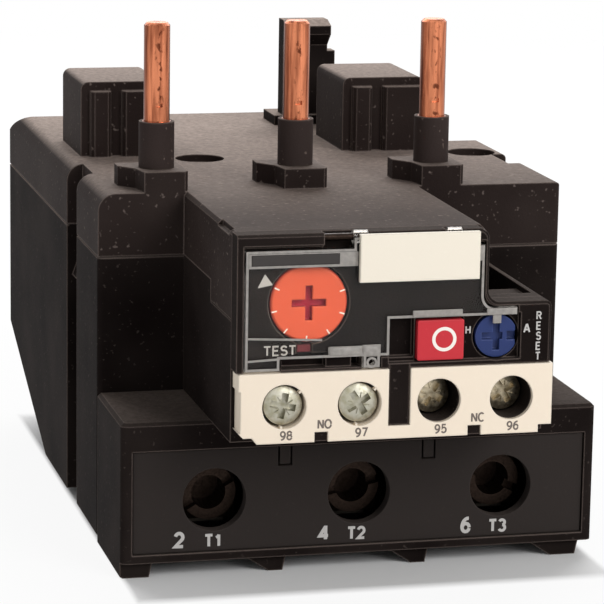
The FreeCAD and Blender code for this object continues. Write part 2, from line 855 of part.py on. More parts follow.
def contact_carrier():
    y0 = lever_tip_y - carrier_half_depth
    y1 = lever_tip_y + carrier_half_depth
    z0 = carrier_bottom_z
    z1 = z0 + carrier_thickness
    right_x = lever_tip_x - lever_width / 2 - end_gap
    bar = box(carrier_left_x, right_x, y0, y1, z0, z1)
    nc_post = box(nc_bridge_x() - post_thickness, nc_bridge_x(), y0, y1, z1, contact_top_z)
    no_face = no_bridge_x() + bridge_thickness
    no_post = box(no_face, no_face + post_thickness, y0, y1, z1, contact_top_z)
    return joined([bar, nc_post, no_post])


def nc_bridge_x():
    return closed_contact_x - bridge_thickness


def no_bridge_x():
    return -closed_contact_x + contact_gap


def bridge(x):
    return box(x, x + bridge_thickness, contact_front_y, contact_rear_y,
               carrier_bottom_z + carrier_thickness, contact_top_z)


def aux_plate(index):
    """Clamping plate of one auxiliary terminal, with its tail to a fixed contact."""
    x = aux_x[index]
    y0 = strip_rear_y - plate_thickness
    y1 = strip_rear_y
    low = aux_z - plate_half
    high = aux_z + plate_half
    tail_low = contact_top_z - tail_height
    plate = box(x - plate_half, x + plate_half, y0, y1, low, high)
    hole = rod_y(x, aux_z, aux_shank_radius + running_gap, y0 - 1, y1 + 1)
    plate = plate.cut(hole)
    side = 1 if x > 0 else -1
    pad = side * closed_contact_x
    outer_pole = abs(x) > closed_contact_x
    lane = pad + side * (tail_lane if outer_pole else 0.0)
    lane_far = lane + side * tail_thickness
    inner_edge = x - side * plate_half if outer_pole else x
    arm_x0 = min(lane, lane_far, inner_edge)
    arm_x1 = max(lane, lane_far, inner_edge + (side * 1.5 if outer_pole else 0))
    neck_x0 = min(inner_edge, inner_edge + side * 1.5)
    neck_x1 = max(inner_edge, inner_edge + side * 1.5)
    if not outer_pole:
        neck_x0 = min(x, x + side * plate_half)
        neck_x1 = max(x, x + side * plate_half)
    neck = box(neck_x0, neck_x1, y0, y1, high - 1, contact_top_z)
    cross = box(arm_x0, arm_x1, y0, y1, tail_low, contact_top_z)
    end_y = contact_rear_y if outer_pole else contact_front_y + 2
    lane_bar = box(min(lane, lane_far), max(lane, lane_far), y0, end_y, tail_low, contact_top_z)
    solids = [plate, neck, cross, lane_bar]
    if outer_pole:
        solids.append(box(min(pad, lane), max(pad, lane), contact_rear_y - 2, contact_rear_y,
                          tail_low, contact_top_z))
    return joined(solids)


def head_case():
    """Lower part of the head: floor, side walls, mechanism wall and the open trough."""
    left = head_left_x
    right = head_right_x
    front = bezel_back_y
    outline = [(left, head_floor_z), (right, head_floor_z), (right, shoulder_z),
               (neck_right_x, shoulder_z), (neck_right_x, seam_z), (left, seam_z)]
    block = plate_xz(outline, front, tower_y)
    block = rounded(block, tower_edge_radius, Y_AXIS,
                    lambda p: abs(p.x - right) < 0.01 and p.z > shoulder_z - 0.01)
    neck_inner = neck_right_x - trough_wall
    inner_right = right - wall
    room = box(left + wall, inner_right, front - 1, tower_y + 1, head_floor_z + wall,
               trough_floor_z - trough_wall)
    neck_room = box(left + wall, neck_inner, front - 1, tower_y + 1, head_floor_z + wall, seam_z + 1)
    control_room = box(left + wall, inner_right, front - 1, trough_step_y - trough_wall,
                       head_floor_z + wall, mechanism_roof_z)
    knob_room_back = plunger_front_y + plunger_flange_thickness + reset_travel + moving_gap
    knob_room = box(neck_inner - 1, inner_right, front - 1, knob_room_back,
                    head_floor_z + wall, knob_z + knob_radius + moving_gap)
    shelf = box(neck_right_x, right - trough_wall, trough_front_y, trough_step_y + 1,
                trough_shelf_z, shoulder_z + 1)
    trough = box(neck_right_x, right - trough_wall, trough_step_y, tower_y - wall,
                 trough_floor_z, shoulder_z + 1)
    shell = block.cut([room, neck_room, control_room, knob_room, shelf, trough])
    additions = []
    for x in (aux_x[0] + plate_half, aux_x[2] - 0.5):
        additions.append(box(x - 1, x + 1, lever_tip_y - carrier_half_depth,
                             lever_tip_y + carrier_half_depth, head_floor_z + wall / 2,
                             carrier_bottom_z))
    additions.append(box(left + wall / 2, neck_inner + 0.5, spring_wall_y,
                         spring_wall_y + spring_wall_thickness, contact_top_z + 0.6, seam_z))
    additions.append(box(neck_inner - 0.5, inner_right + 0.5, spring_wall_y,
                         trough_step_y - trough_wall / 2, contact_top_z + 0.6, mechanism_roof_z + 0.2))
    shell = joined([shell] + additions)
    step = box(left - 1, left + wall, front - 1, skirt_step_y + skirt_gap,
               skirt_step_z - skirt_gap, seam_z + 1)
    shaft_hole = rod_y(dial_x, dial_z, dial_shaft_radius + running_gap, spring_wall_y - 1,
                       spring_wall_y + spring_wall_thickness + 1)
    plunger_hole = rod_y(knob_x, knob_z, knob_shaft_radius + moving_gap, spring_wall_y - 1,
                         trough_step_y + 1)
    return shell.cut([step, shaft_hole, plunger_hole]).removeSplitter()


def cover_outline(grow):
    """Front view of the clear cover, with its edges moved outwards by grow."""
    left = cover_left_x - grow
    right = cover_right_x + grow
    return [
        (left, cover_top_z + grow),
        (left, cover_foot_z - grow),
        (latch_left_x + grow, cover_foot_z - grow),
        (latch_left_x + grow, cover_step_z - grow),
        (latch_right_x - grow, cover_step_z - grow),
        (latch_right_x - grow, cover_foot_z - grow),
        (seal_right_x + grow, cover_foot_z - grow),
        (seal_right_x + grow, cover_step_z - grow),
        (window_left_x + grow, cover_step_z - grow),
        (window_left_x + grow, cover_window_z - grow),
        (cover_tab_right_x + grow, cover_window_z - grow),
        (cover_tab_right_x + grow, cover_tab_top_z + grow),
        (right, cover_tab_top_z + grow),
        (right, cover_top_z + grow),
    ]


def cover_plate(grow, y0, y1):
    plate = plate_xz(cover_outline(grow), y0, y1)
    return rounded(plate, cover_bend_radius, Y_AXIS,
                   lambda p: abs(p.x - cover_right_x - grow) < 0.01
                   and abs(p.z - cover_tab_top_z - grow) < 0.01)


def knuckle_centres():
    return [left_knuckle_x, right_knuckle_x]


def cover_hinge_y():
    return head_front_y + cover_setback + cover_thickness


def dial_cover():
    y0 = head_front_y + cover_setback
    plate = cover_plate(0, y0, y0 + cover_thickness)
    hinge_y = cover_hinge_y()
    solids = [plate]
    holes = [prism_y(seal_hole_x, cover_foot_z + seal_hole_rise, seal_hole_radius, 6, y0 - 1, y0 + 2)]
    for x in knuckle_centres():
        x0 = x - knuckle_width / 2
        x1 = x + knuckle_width / 2
        solids.append(rod_x(hinge_y, cover_hinge_z, knuckle_radius, x0, x1))
        solids.append(box(x0, x1, y0, y0 + cover_thickness, cover_hinge_z - knuckle_height, cover_hinge_z))
        holes.append(rod_x(hinge_y, cover_hinge_z, hinge_pin_radius + running_gap, x0 - 1, x1 + 1))
    return joined(solids).cut(holes)


def cover_hinge_pin():
    return rod_x(cover_hinge_y(), cover_hinge_z, hinge_pin_radius, head_left_x + hinge_pin_end,
                 neck_right_x - hinge_pin_end)


def marker_tag():
    y1 = head_front_y + cover_setback
    return box(tag_left_x, tag_right_x, y1 - tag_thickness, y1, tag_bottom_z, tag_top_z)


def front_bezel():
    """Front moulding of the head, recessed for the cover and pierced for the controls."""
    left = head_left_x
    outline = [(left, bezel_bottom_z), (head_right_x, bezel_bottom_z), (head_right_x, shoulder_z),
               (neck_right_x, shoulder_z), (neck_right_x, roof_z), (left, roof_z)]
    body = plate_xz(outline, head_front_y, bezel_back_y)
    body = rounded(body, bezel_corner_radius, Y_AXIS,
                   lambda p: abs(p.x - neck_right_x) < 0.01 and p.z > roof_z - 0.01)
    body = rounded(body, bezel_neck_radius, Y_AXIS,
                   lambda p: abs(p.x - neck_right_x) < 0.01 and abs(p.z - shoulder_z) < 0.01)
    body = rounded(body, tower_edge_radius, Y_AXIS,
                   lambda p: abs(p.x - head_right_x) < 0.01 and p.z > shoulder_z - 0.01)
    body = bevelled(body, bezel_top_bevel, X_AXIS,
                    lambda p: p.y < head_front_y + 0.01 and p.z > roof_z - 0.01)
    rib = box(rib_left_x, rib_right_x, strip_front_y + 0.3, bezel_back_y, rib_bottom_z,
              bezel_bottom_z + 1)
    body = joined([body, rib])
    front = head_front_y - 1
    recess = cover_plate(cover_clearance, front, recess_y)
    swing_room = box(cover_left_x - cover_clearance, cover_right_x + cover_clearance, front,
                     head_front_y + cover_swing_room, cover_top_z, cover_top_z + cover_swing_room)
    zone = box(window_left_x, reset_panel_x, front, recess_y, bezel_bottom_z + control_lip,
               cover_window_z + cover_clearance)
    sunk = box(window_left_x + moving_gap, stop_x - stop_half_width - moving_gap, front,
               recess_y + latch_recess, bezel_bottom_z + latch_recess, cover_window_z)
    latch = box(latch_left_x + moving_gap, latch_right_x - moving_gap, front,
                recess_y + latch_recess, bezel_bottom_z + moving_gap, cover_step_z + latch_lead)
    dial_hole = rod_y(dial_x, dial_z, dial_radius + moving_gap, front, bezel_back_y + 1)
    stop_hole = box(stop_x - stop_half_width - slot_gap, stop_x + stop_half_width + slot_gap, front,
                    bezel_back_y + 1, stop_z - stop_half_height - slot_gap,
                    stop_z + stop_half_height + slot_gap)
    knob_hole = rod_y(knob_x, knob_z, knob_radius + moving_gap, front, bezel_back_y + 1)
    test_hole = box(test_x - test_half_width - slot_gap, test_x + test_half_width + slot_gap, front,
                    bezel_back_y + 1, test_z - test_half_height - slot_gap,
                    test_z + test_half_height + slot_gap)
    cuts = [recess, swing_room, zone, sunk, latch, dial_hole, stop_hole, knob_hole, test_hole]
    hinge_y = cover_hinge_y()
    room = knuckle_radius + moving_gap
    for x in knuckle_centres():
        x0 = x - knuckle_width / 2 - moving_gap
        x1 = x + knuckle_width / 2 + moving_gap
        if x == left_knuckle_x:
            x0 = hinge_notch_left_x
        cuts.append(box(x0, x1, front, hinge_y + room, cover_top_z - 1, roof_z + 1))
    cuts.append(box(left + hinge_pin_end, neck_right_x - hinge_pin_end, hinge_y - hinge_pin_radius,
                    hinge_y + hinge_pin_radius, cover_hinge_z - hinge_pin_radius,
                    cover_hinge_z + hinge_pin_radius))
    latch_block = box(latch_block_left_x, latch_block_right_x, recess_y - 0.2,
                      recess_y + latch_block_depth, bezel_bottom_z + moving_gap, cover_step_z)
    return body.cut(cuts).fuse(latch_block).removeSplitter()


def setting_dial():
    """Round knob with a cross slot and a shaft through the mechanism wall."""
    y0 = dial_front_y
    disc = rod_y(dial_x, dial_z, dial_radius, y0, y0 + dial_thickness)
    disc = disc.makeChamfer(0.3, [e for e in disc.Edges if e.CenterOfMass.y < y0 + 0.01])
    shaft = rod_y(dial_x, dial_z, dial_shaft_radius, y0 + dial_thickness / 2, dial_shaft_rear_y)
    whole = joined([disc, shaft])
    reach = dial_slot_length / 2
    half = dial_slot_width / 2
    y1 = y0 + dial_slot_depth
    bar = box(dial_x - reach, dial_x + reach, y0 - 1, y1, dial_z - half, dial_z + half)
    post = box(dial_x - half, dial_x + half, y0 - 1, y1, dial_z - reach, dial_z + reach)
    return whole.cut([bar, post])


def setting_cam():
    """Eccentric on the dial's shaft, with twelve flats, that shifts the trip point."""
    y0 = dial_shaft_rear_y - cam_thickness
    disc = prism_y(dial_x + cam_offset, dial_z, cam_radius, cam_sides, y0, dial_shaft_rear_y)
    return disc.cut(rod_y(dial_x, dial_z, dial_shaft_radius, y0 - 1, dial_shaft_rear_y + 1))


def stop_button():
    y0 = stop_front_y
    y1 = y0 + stop_length
    head = box(stop_x - stop_half_width, stop_x + stop_half_width, y0, bezel_back_y + 0.8,
               stop_z - stop_half_height, stop_z + stop_half_height)
    head = head.makeFillet(0.25, straight_edges(head, Y_AXIS, lambda p: True))
    flange_plate = box(stop_x - stop_half_width - 0.8, stop_x + stop_half_width + 0.8, bezel_back_y,
                       bezel_back_y + 0.8, stop_z - stop_half_height, stop_z + stop_half_height)
    stem = box(stop_x - 2.0, stop_x + 2.0, bezel_back_y, y1, stop_z - 1.4, stop_z + 1.4)
    return joined([head, flange_plate, stem])


def coil_spring(x, z, mean_radius, y0, y1, turns):
    """Wire spring along Y between two flat seats, in short straight lengths of square wire."""
    wire_radius = spring_wire / 2
    length = y1 - y0 - spring_wire
    steps = turns * spring_steps_per_turn
    path = []
    for step in range(steps + 1):
        angle = 2 * math.pi * step / spring_steps_per_turn
        path.append(point(x + mean_radius * math.cos(angle), y0 + wire_radius + length * step / steps,
                          z + mean_radius * math.sin(angle)))
    start = path[0]
    along = (path[1] - path[0]).normalize()
    outwards = along.cross(Y_AXIS).normalize()
    sideways = along.cross(outwards)
    corners = []
    for corner in range(spring_wire_sides):
        angle = 2 * math.pi * corner / spring_wire_sides
        corners.append(start + outwards * (wire_radius * math.cos(angle))
                       + sideways * (wire_radius * math.sin(angle)))
    profile = Part.makePolygon(corners + corners[:1])
    right_corner = 1
    return Part.makePolygon(path).makePipeShell([profile], True, False, right_corner)


def stop_spring():
    return coil_spring(stop_x, stop_z + 0.4, 1.4, stop_front_y + stop_length, spring_wall_y, 5)


def reset_knob():
    """Selector knob: D-shaped disc with a cross slot, a notch and a stub shaft."""
    y0 = knob_front_y
    disc = rod_y(knob_x, knob_z, knob_radius, y0, plunger_front_y)
    flat = box(knob_x + knob_flat, knob_x + knob_radius + 1, y0 - 1, recess_y + 0.6,
               knob_z - knob_radius, knob_z + knob_radius)
    notch = box(knob_x + knob_flat - knob_notch, knob_x + knob_radius + 1, y0 - 1, recess_y + 0.6,
                knob_z - knob_notch / 2, knob_z + knob_notch / 2)
    bar = box(knob_x - 2.1, knob_x + 0.9, y0 - 1, y0 + 0.8, knob_z - 0.5, knob_z + 0.5)
    post = box(knob_x - 0.5, knob_x + 0.5, y0 - 1, y0 + 0.8, knob_z - 2.0, knob_z + 2.0)
    shaft = rod_y(knob_x, knob_z, knob_shaft_radius, plunger_front_y - 1,
                  plunger_front_y + plunger_length + 1.0)
    return joined([disc, shaft]).cut([flat, notch, bar, post])


def reset_plunger():
    """Sleeve that the knob turns in and that it pushes back against the spring."""
    y0 = plunger_front_y
    sleeve = prism_y(knob_x, knob_z, plunger_radius, 6, y0, y0 + plunger_length - plunger_rear_step)
    flange_ring = prism_y(knob_x, knob_z, plunger_flange, 6, y0, y0 + plunger_flange_thickness)
    bore = rod_y(knob_x, knob_z, knob_shaft_radius + running_gap, y0 - 1, y0 + plunger_length + 1)
    return joined([sleeve, flange_ring]).cut(bore)


def reset_spring():
    return coil_spring(knob_x, knob_z, reset_spring_radius,
                       plunger_front_y + plunger_length - plunger_rear_step,
                       spring_wall_y, 3)


def test_button():
    y0 = recess_y + 0.2
    stem = box(test_x - test_half_width, test_x + test_half_width, y0, spring_wall_y - 2.2,
               test_z - test_half_height, test_z + test_half_height)
    stop = box(test_x - test_half_width - 0.9, test_x + test_half_width + 0.9, bezel_back_y,
               bezel_back_y + 0.8, test_z - test_half_height, test_z + test_half_height)
    return joined([stem, stop])


def aux_terminal_strip():
    """Moulded strip with four screw wells, a slot for the bezel's rib and corner reliefs."""
    top = bezel_bottom_z - 0.1
    front = strip_front_y
    outline = [
        (strip_left_x, strip_bottom_z + 1.6),
        (strip_left_x + 0.7, strip_bottom_z + 0.9),
        (strip_left_x + 1.9, strip_bottom_z + 0.9),
        (strip_left_x + 2.6, strip_bottom_z),
        (strip_right_x - 1.9, strip_bottom_z),
        (strip_right_x - 1.9, strip_bottom_z + 1.1),
        (strip_right_x, strip_bottom_z + 1.1),
        (strip_right_x, top),
        (strip_left_x, top),
    ]
    face = plate_xz(outline, front, bezel_back_y)
    core = box(head_left_x + wall + 0.1, head_right_x - wall - 0.1, bezel_back_y - 0.5, strip_rear_y,
               head_floor_z + wall, contact_top_z - tail_height - 0.1)
    cuts = [box(rib_left_x - 0.1, rib_right_x + 0.1, front - 1, bezel_back_y, rib_bottom_z - 0.1, top + 1)]
    cuts.append(box(strip_left_x - 1, strip_left_x + 0.3, front - 1, bezel_back_y,
                    strip_bottom_z + 1.6, strip_bottom_z + 7.4))
    for x in ((aux_x[0] + aux_x[1]) / 2, (aux_x[2] + aux_x[3]) / 2):
        cuts.append(box(x - 1.0, x + 0.9, front - 1, front + 1.6, strip_bottom_z - 1,
                        strip_bottom_z + 1.4))
    y_plate = strip_rear_y - plate_thickness
    for x in aux_x:
        cuts.append(rod_y(x, aux_z, aux_well_radius, front - 1, y_plate))
        cuts.append(box(x - plate_half, x + plate_half, y_plate, strip_rear_y + 1,
                        aux_z - plate_half, top + 1))
        cuts.append(box(x - 2.4, x + 2.4, y_plate - 2.6, y_plate, head_floor_z, aux_z))
    return joined([face, core]).cut(cuts).removeSplitter()


def aux_screw(index):
    x = aux_x[index]
    y0 = aux_head_front_y[index]
    y1 = y0 + aux_head_thickness
    head = rod_y(x, aux_z, aux_head_radius, y0, y1)
    shank = rod_y(x, aux_z, aux_shank_radius, y1 - 0.5, y1 + aux_shank_length)
    reach = aux_cross_length / 2
    half = aux_cross_width / 2
    floor_y = y0 + aux_cross_depth
    bar = box(x - reach, x + reach, y0 - 1, floor_y, aux_z - half, aux_z + half)
    post = box(x - half, x + half, y0 - 1, floor_y, aux_z - reach, aux_z + reach)
    recess = joined([bar, post])
    recess.rotate(point(x, 0, aux_z), Y_AXIS, aux_cross_tilts[index])
    return joined([head, shank]).cut(recess)


def aux_washer(index):
    """Eight-sided captive washer that presses the wires on the plate."""
    x = aux_x[index]
    y0 = aux_head_front_y[index] + aux_head_thickness
    y1 = y0 + washer_thickness
    bore = rod_y(x, aux_z, aux_shank_radius + running_gap, y0 - 1, y1 + 1)
    return prism_y(x, aux_z, washer_radius, 8, y0, y1).cut(bore)


def write_piece(name, shape):
    piece = shape.copy()
    piece.translate(point(0, -middle_y, 0))
    piece.exportStep("parts/" + name + ".step")


def build():
    os.makedirs("parts", exist_ok=True)
    single_pieces = [
        base_housing, top_cover, terminal_shroud, front_panel, head_case, front_bezel,
        aux_terminal_strip, mounting_hook, pin_sleeves, trip_slide, differential_slide,
        trip_lever, lever_pin, compensation_strip, contact_carrier, setting_dial, setting_cam,
        stop_button, stop_spring, reset_knob, reset_plunger, reset_spring, test_button,
        dial_cover, cover_hinge_pin, marker_tag,
    ]
    for maker in single_pieces:
        write_piece(maker.__name__, maker())
    write_piece("nc_bridge", bridge(nc_bridge_x()))
    write_piece("no_bridge", bridge(no_bridge_x()))
    pole_pieces = [power_pin, load_busbar, clamp_cage, clamp_screw, bimetal, heater]
    for maker in pole_pieces:
        for pole in range(pole_count):
            write_piece(maker.__name__ + "_" + str(pole + 1), maker(pole))
    for maker in [aux_plate, aux_screw, aux_washer]:
        for index, name in enumerate(aux_names):
            write_piece(maker.__name__ + "_" + name, maker(index))


build()
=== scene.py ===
# %% [markdown]
# # Thermal overload relay, step by step
# This lesson dresses a finished engineering model of a motor protection relay. The model already has
# every part at its true size, so nothing here moves or resizes one of them. What is left is what the
# eye reads: moulded plastic, plated screws, drawn copper, a clear cover and the printed marks.

# %% Load the parts
import json
import math
import bmesh
import bpy
from mathutils import Matrix, Vector


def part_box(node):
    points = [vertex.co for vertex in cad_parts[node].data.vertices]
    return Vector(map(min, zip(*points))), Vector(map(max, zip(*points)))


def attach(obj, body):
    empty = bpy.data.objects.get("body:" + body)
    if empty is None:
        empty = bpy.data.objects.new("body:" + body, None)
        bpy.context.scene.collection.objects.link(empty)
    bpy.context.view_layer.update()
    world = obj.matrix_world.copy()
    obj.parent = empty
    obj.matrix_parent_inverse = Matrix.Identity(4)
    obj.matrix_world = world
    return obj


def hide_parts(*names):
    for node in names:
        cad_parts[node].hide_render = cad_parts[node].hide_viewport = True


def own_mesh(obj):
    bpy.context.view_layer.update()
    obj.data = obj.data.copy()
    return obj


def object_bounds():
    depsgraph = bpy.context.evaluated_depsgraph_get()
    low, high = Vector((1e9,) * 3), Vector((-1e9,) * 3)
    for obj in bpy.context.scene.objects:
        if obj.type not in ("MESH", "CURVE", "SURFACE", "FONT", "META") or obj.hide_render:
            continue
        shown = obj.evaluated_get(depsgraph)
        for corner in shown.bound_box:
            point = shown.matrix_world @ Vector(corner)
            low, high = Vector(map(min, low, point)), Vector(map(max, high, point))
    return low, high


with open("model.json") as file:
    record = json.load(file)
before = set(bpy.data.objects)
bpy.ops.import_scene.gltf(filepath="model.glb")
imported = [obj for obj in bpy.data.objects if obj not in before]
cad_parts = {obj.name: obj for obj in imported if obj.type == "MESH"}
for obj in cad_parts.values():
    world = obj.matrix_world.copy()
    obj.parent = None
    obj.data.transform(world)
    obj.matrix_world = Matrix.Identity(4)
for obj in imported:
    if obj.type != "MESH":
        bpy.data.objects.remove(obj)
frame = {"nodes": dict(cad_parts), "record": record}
nodes = frame["nodes"]
cad_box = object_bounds()
scene = bpy.context.scene
scene.view_settings.view_transform = "Standard"
MM = 0.001

# %% [markdown]
# ## Where things are
# Marks and fittings are placed from the parts they sit on. Each part's box gives its edges, so a
# mark is written as "so many millimetres in from that edge", the way a printer's drawing says it.

# %% Edges of the parts that carry marks
FRONT = Vector((0, -1, 0))


def low(node):
    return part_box(node)[0]


def high(node):
    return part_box(node)[1]


def middle(node):
    return (low(node) + high(node)) / 2


print("control face width in mm:", round((high("front_bezel").x - low("front_bezel").x) / MM, 1))

# %% [markdown]
# ## A short way to write node trees
# A material is a small graph of nodes. Adding a node always takes the same three steps: make it, set
# its values, and join its inputs to other nodes. One function does all three. A few kinds of node come
# up again and again, so each has a helper, which hands back the output that carries its result.

# %% Node helpers
def add(tree, kind, links=None, values=None, **settings):
    """One node of the given kind, with its settings, socket values and links."""
    node = tree.nodes.new(kind)
    for name, value in settings.items():
        setattr(node, name, value)
    for name, value in (values or {}).items():
        node.inputs[name].default_value = value
    for name, source in (links or {}).items():
        tree.links.new(source, node.inputs[name])
    return node


def maths(tree, operation, *terms):
    """The result of one sum, whose terms are sockets or plain numbers."""
    numbers = {place: term for place, term in enumerate(terms) if isinstance(term, (int, float))}
    sockets = {place: term for place, term in enumerate(terms) if place not in numbers}
    return add(tree, "ShaderNodeMath", sockets, numbers, operation=operation).outputs["Value"]


def ramp(tree, value, start, end, first=0.0, last=1.0):
    """first where the value is at start, last where it is at end, and even steps between them."""
    step = add(tree, "ShaderNodeMapRange", {"Value": value},
               {"From Min": start, "From Max": end, "To Min": first, "To Max": last})
    return step.outputs["Result"]


def pattern(tree, place, detail, **values):
    """A soft random pattern over a place, between 0 and 1."""
    noise = add(tree, "ShaderNodeTexNoise", {"Vector": place}, {"Scale": 1.0, "Detail": detail, **values})
    return noise.outputs["Fac"]


def axes_of(tree, kind):
    """X, Y and Z of a kind of coordinates, each as its own output."""
    coordinates = add(tree, "ShaderNodeTexCoord")
    return add(tree, "ShaderNodeSeparateXYZ", {"Vector": coordinates.outputs[kind]}).outputs


def object_place(tree, *sizes_mm):
    """Object coordinates for a pattern of a size: one size, or one for each axis."""
    scale = [1 / (size * MM) for size in (sizes_mm if len(sizes_mm) == 3 else sizes_mm * 3)]
    coordinates = add(tree, "ShaderNodeTexCoord")
    mapping = add(tree, "ShaderNodeMapping", {"Vector": coordinates.outputs["Object"]}, {"Scale": scale})
    return mapping.outputs["Vector"]


print("object coordinates are in metres, so 1 mm is", MM)

# %% Colour and material helpers
def linear(hex_colour):
    """sRGB hex value as a linear colour with alpha."""
    channels = [int(hex_colour[i:i + 2], 16) / 255 for i in (1, 3, 5)]
    curve = [c / 12.92 if c <= 0.04045 else ((c + 0.055) / 1.055) ** 2.4 for c in channels]
    return (*curve, 1.0)


def blend(tree, share, first, second):
    """A colour between two others, each a hex value or a socket."""
    step = add(tree, "ShaderNodeMix", {"Factor": share}, data_type="RGBA")
    for name, colour in (("A", first), ("B", second)):
        if isinstance(colour, str):
            step.inputs[name].default_value = linear(colour)
        else:
            tree.links.new(colour, step.inputs[name])
    return step.outputs["Result"]


def new_material(name, **values):
    """A material with one Principled shader, whose plain socket values are given by name."""
    material = bpy.data.materials.new(name)
    material.use_nodes = True
    tree = material.node_tree
    tree.nodes.clear()
    shader = add(tree, "ShaderNodeBsdfPrincipled")
    for socket, value in values.items():
        shader.inputs[socket.replace("_", " ")].default_value = value
    add(tree, "ShaderNodeOutputMaterial", {"Surface": shader.outputs["BSDF"]})
    return material, tree, shader


def recoloured(material, share_of, hex_colour):
    """Lay a second colour over a material's own, by a share that share_of works out in its tree."""
    tree = material.node_tree
    base = tree.nodes["Principled BSDF"].inputs["Base Color"]
    own_colour = base.links[0].from_socket
    tree.links.new(blend(tree, share_of(tree), own_colour, hex_colour), base)


print("middle grey is", round(linear("#808080")[0], 3), "in linear light")

# %% [markdown]
# ## Moulded plastics
# The casing is polyamide filled with short glass fibre. Its mould was spark eroded, which leaves a
# fine grain that scatters highlights into a soft grey sheen. A bitmap could carry that grain, but a
# noise pattern in object space needs no unwrapping and has the same grain size on every face. The
# real grain is about 0.05 mm; it is drawn at 0.3 mm so that it shows at this distance.
# Corners of such a moulding are never sharp, and handling polishes them until they look paler than
# the faces. The pale colour there is also a painted highlight, standing for what a rounded corner
# catches from the lamps. The Bevel node rounds the shading of every corner. Comparing its direction
# with the flat one tells where a corner is, and that mask lightens the colour there.

# %% Worn corners with painted highlights
CORNER_RADIUS = 0.35 * MM
# How well the two normals agree: on a flat face, and on a worn corner with its painted highlight
FLAT_AGREEMENT = 0.99
CORNER_AGREEMENT = 0.86


# A paler colour on every corner: partly wear, partly painted highlight
def worn_and_highlit_corners(tree):
    """The softened normal, and a mask that is 1 on a corner and 0 on a flat face."""
    soft = add(tree, "ShaderNodeBevel", values={"Radius": CORNER_RADIUS}, samples=6)
    flat = add(tree, "ShaderNodeNewGeometry")
    agree = add(tree, "ShaderNodeVectorMath", {0: soft.outputs["Normal"], 1: flat.outputs["Normal"]},
                operation="DOT_PRODUCT")
    return soft.outputs["Normal"], ramp(tree, agree.outputs["Value"], FLAT_AGREEMENT, CORNER_AGREEMENT)


print("corners look rounded to a radius in mm of", CORNER_RADIUS / MM)

# %% [markdown]
# ## Dust and painted sheen on the roof
# A relay sits in a cabinet for years, and fine dust settles on the faces that look up. It turns their
# black into a dull brown. The same brown also paints the sheen that the lamp behind the relay draws
# on the roof, so it is painted strongest at the back. The direction of a face in object space says
# whether it looks up, so the dust stays on the same faces when a part turns.

# %% Dust and painted sheen
DUST_AND_SHEEN = "#b3a298"
# Height of a face's normal where dust and painted sheen fade out, and where they are full
SLOPING = 0.6
LEVEL = 0.95
# Painted sheen: the share grows from the front to the back, where the lamp behind lights the roof
DIM_FRONT_Y = -50 * MM
BRIGHT_BACK_Y = 35 * MM
DIM_FRONT_SHARE = 0.12
DUST_AND_SHEEN_PATCH_MM = 0.7
THIN_DUST_AND_SHEEN = 0.62


def dust_and_sheen_share(tree, share):
    """How much dust and painted sheen lie on a face: in patches, only on upper faces, more towards the
    back.
    """
    upward = ramp(tree, axes_of(tree, "Normal")["Z"], SLOPING, LEVEL, 0.0, share)
    patches = pattern(tree, object_place(tree, DUST_AND_SHEEN_PATCH_MM), 4.0, Roughness=0.7)
    on_top = maths(tree, "MULTIPLY", upward, ramp(tree, patches, 0.36, 0.64, THIN_DUST_AND_SHEEN, 1.0))
    stronger_at_back = ramp(tree, axes_of(tree, "Object")["Y"], DIM_FRONT_Y, BRIGHT_BACK_Y, DIM_FRONT_SHARE, 1.0)
    return maths(tree, "MULTIPLY", on_top, stronger_at_back)


print("dust fades out over mm:", round((BRIGHT_BACK_Y - DIM_FRONT_Y) / MM))

# %% Moulded plastic
TONE_MM = 14.0
TONE_SHARE = 0.05
FLECK_TO_GRAIN = 2.0
FLECK_START = 0.68
FLECK_FULL = 0.76
ROUGHNESS_SWING = 0.08


def moulded(name, hex_colour, pale_colour, grain_mm, grain_depth_mm, roughness, fleck, specular=0.5,
            wear_and_highlight=0.5, dust=0.0):
    """Moulded plastic: grain, pale flecks, worn and painted-highlit corners, dust and painted sheen on top.
    """
    material, tree, shader = new_material(name, Roughness=roughness, Specular_IOR_Level=specular)
    grain = pattern(tree, object_place(tree, grain_mm), 3.0)
    tone = ramp(tree, pattern(tree, object_place(tree, TONE_MM), 2.0), 0.3, 0.7, 0.0, TONE_SHARE)
    fleck_place = object_place(tree, grain_mm * FLECK_TO_GRAIN)
    flecks = ramp(tree, pattern(tree, fleck_place, 1.0), FLECK_START, FLECK_FULL, 0.0, fleck)
    soft_normal, corner = worn_and_highlit_corners(tree)
    # The corners' share of the pale colour is wear and painted highlight
    pale = maths(tree, "MAXIMUM", maths(tree, "MAXIMUM", flecks, tone),
                 maths(tree, "MULTIPLY", corner, wear_and_highlight))
    clean = blend(tree, pale, hex_colour, pale_colour)
    # Dust, and painted sheen that grows towards the back, on the faces that look up
    tree.links.new(blend(tree, dust_and_sheen_share(tree, dust), clean, DUST_AND_SHEEN), shader.inputs["Base Color"])
    rough = ramp(tree, grain, 0.0, 1.0, roughness - ROUGHNESS_SWING, roughness + ROUGHNESS_SWING)
    tree.links.new(rough, shader.inputs["Roughness"])
    bump = add(tree, "ShaderNodeBump", {"Height": grain, "Normal": soft_normal},
               {"Strength": 0.5, "Distance": grain_depth_mm * MM})
    tree.links.new(bump.outputs["Normal"], shader.inputs["Normal"])
    return material


# Glass-filled polyamide 6.6, spark-eroded mould: warm near-black, soft sheen at grazing angles
HOUSING = moulded("glass_filled_polyamide_black", "#140f0e", "#877972", 0.3, 0.06, roughness=0.7,
                  fleck=0.16, specular=0.02, wear_and_highlight=0.6, dust=0.85)
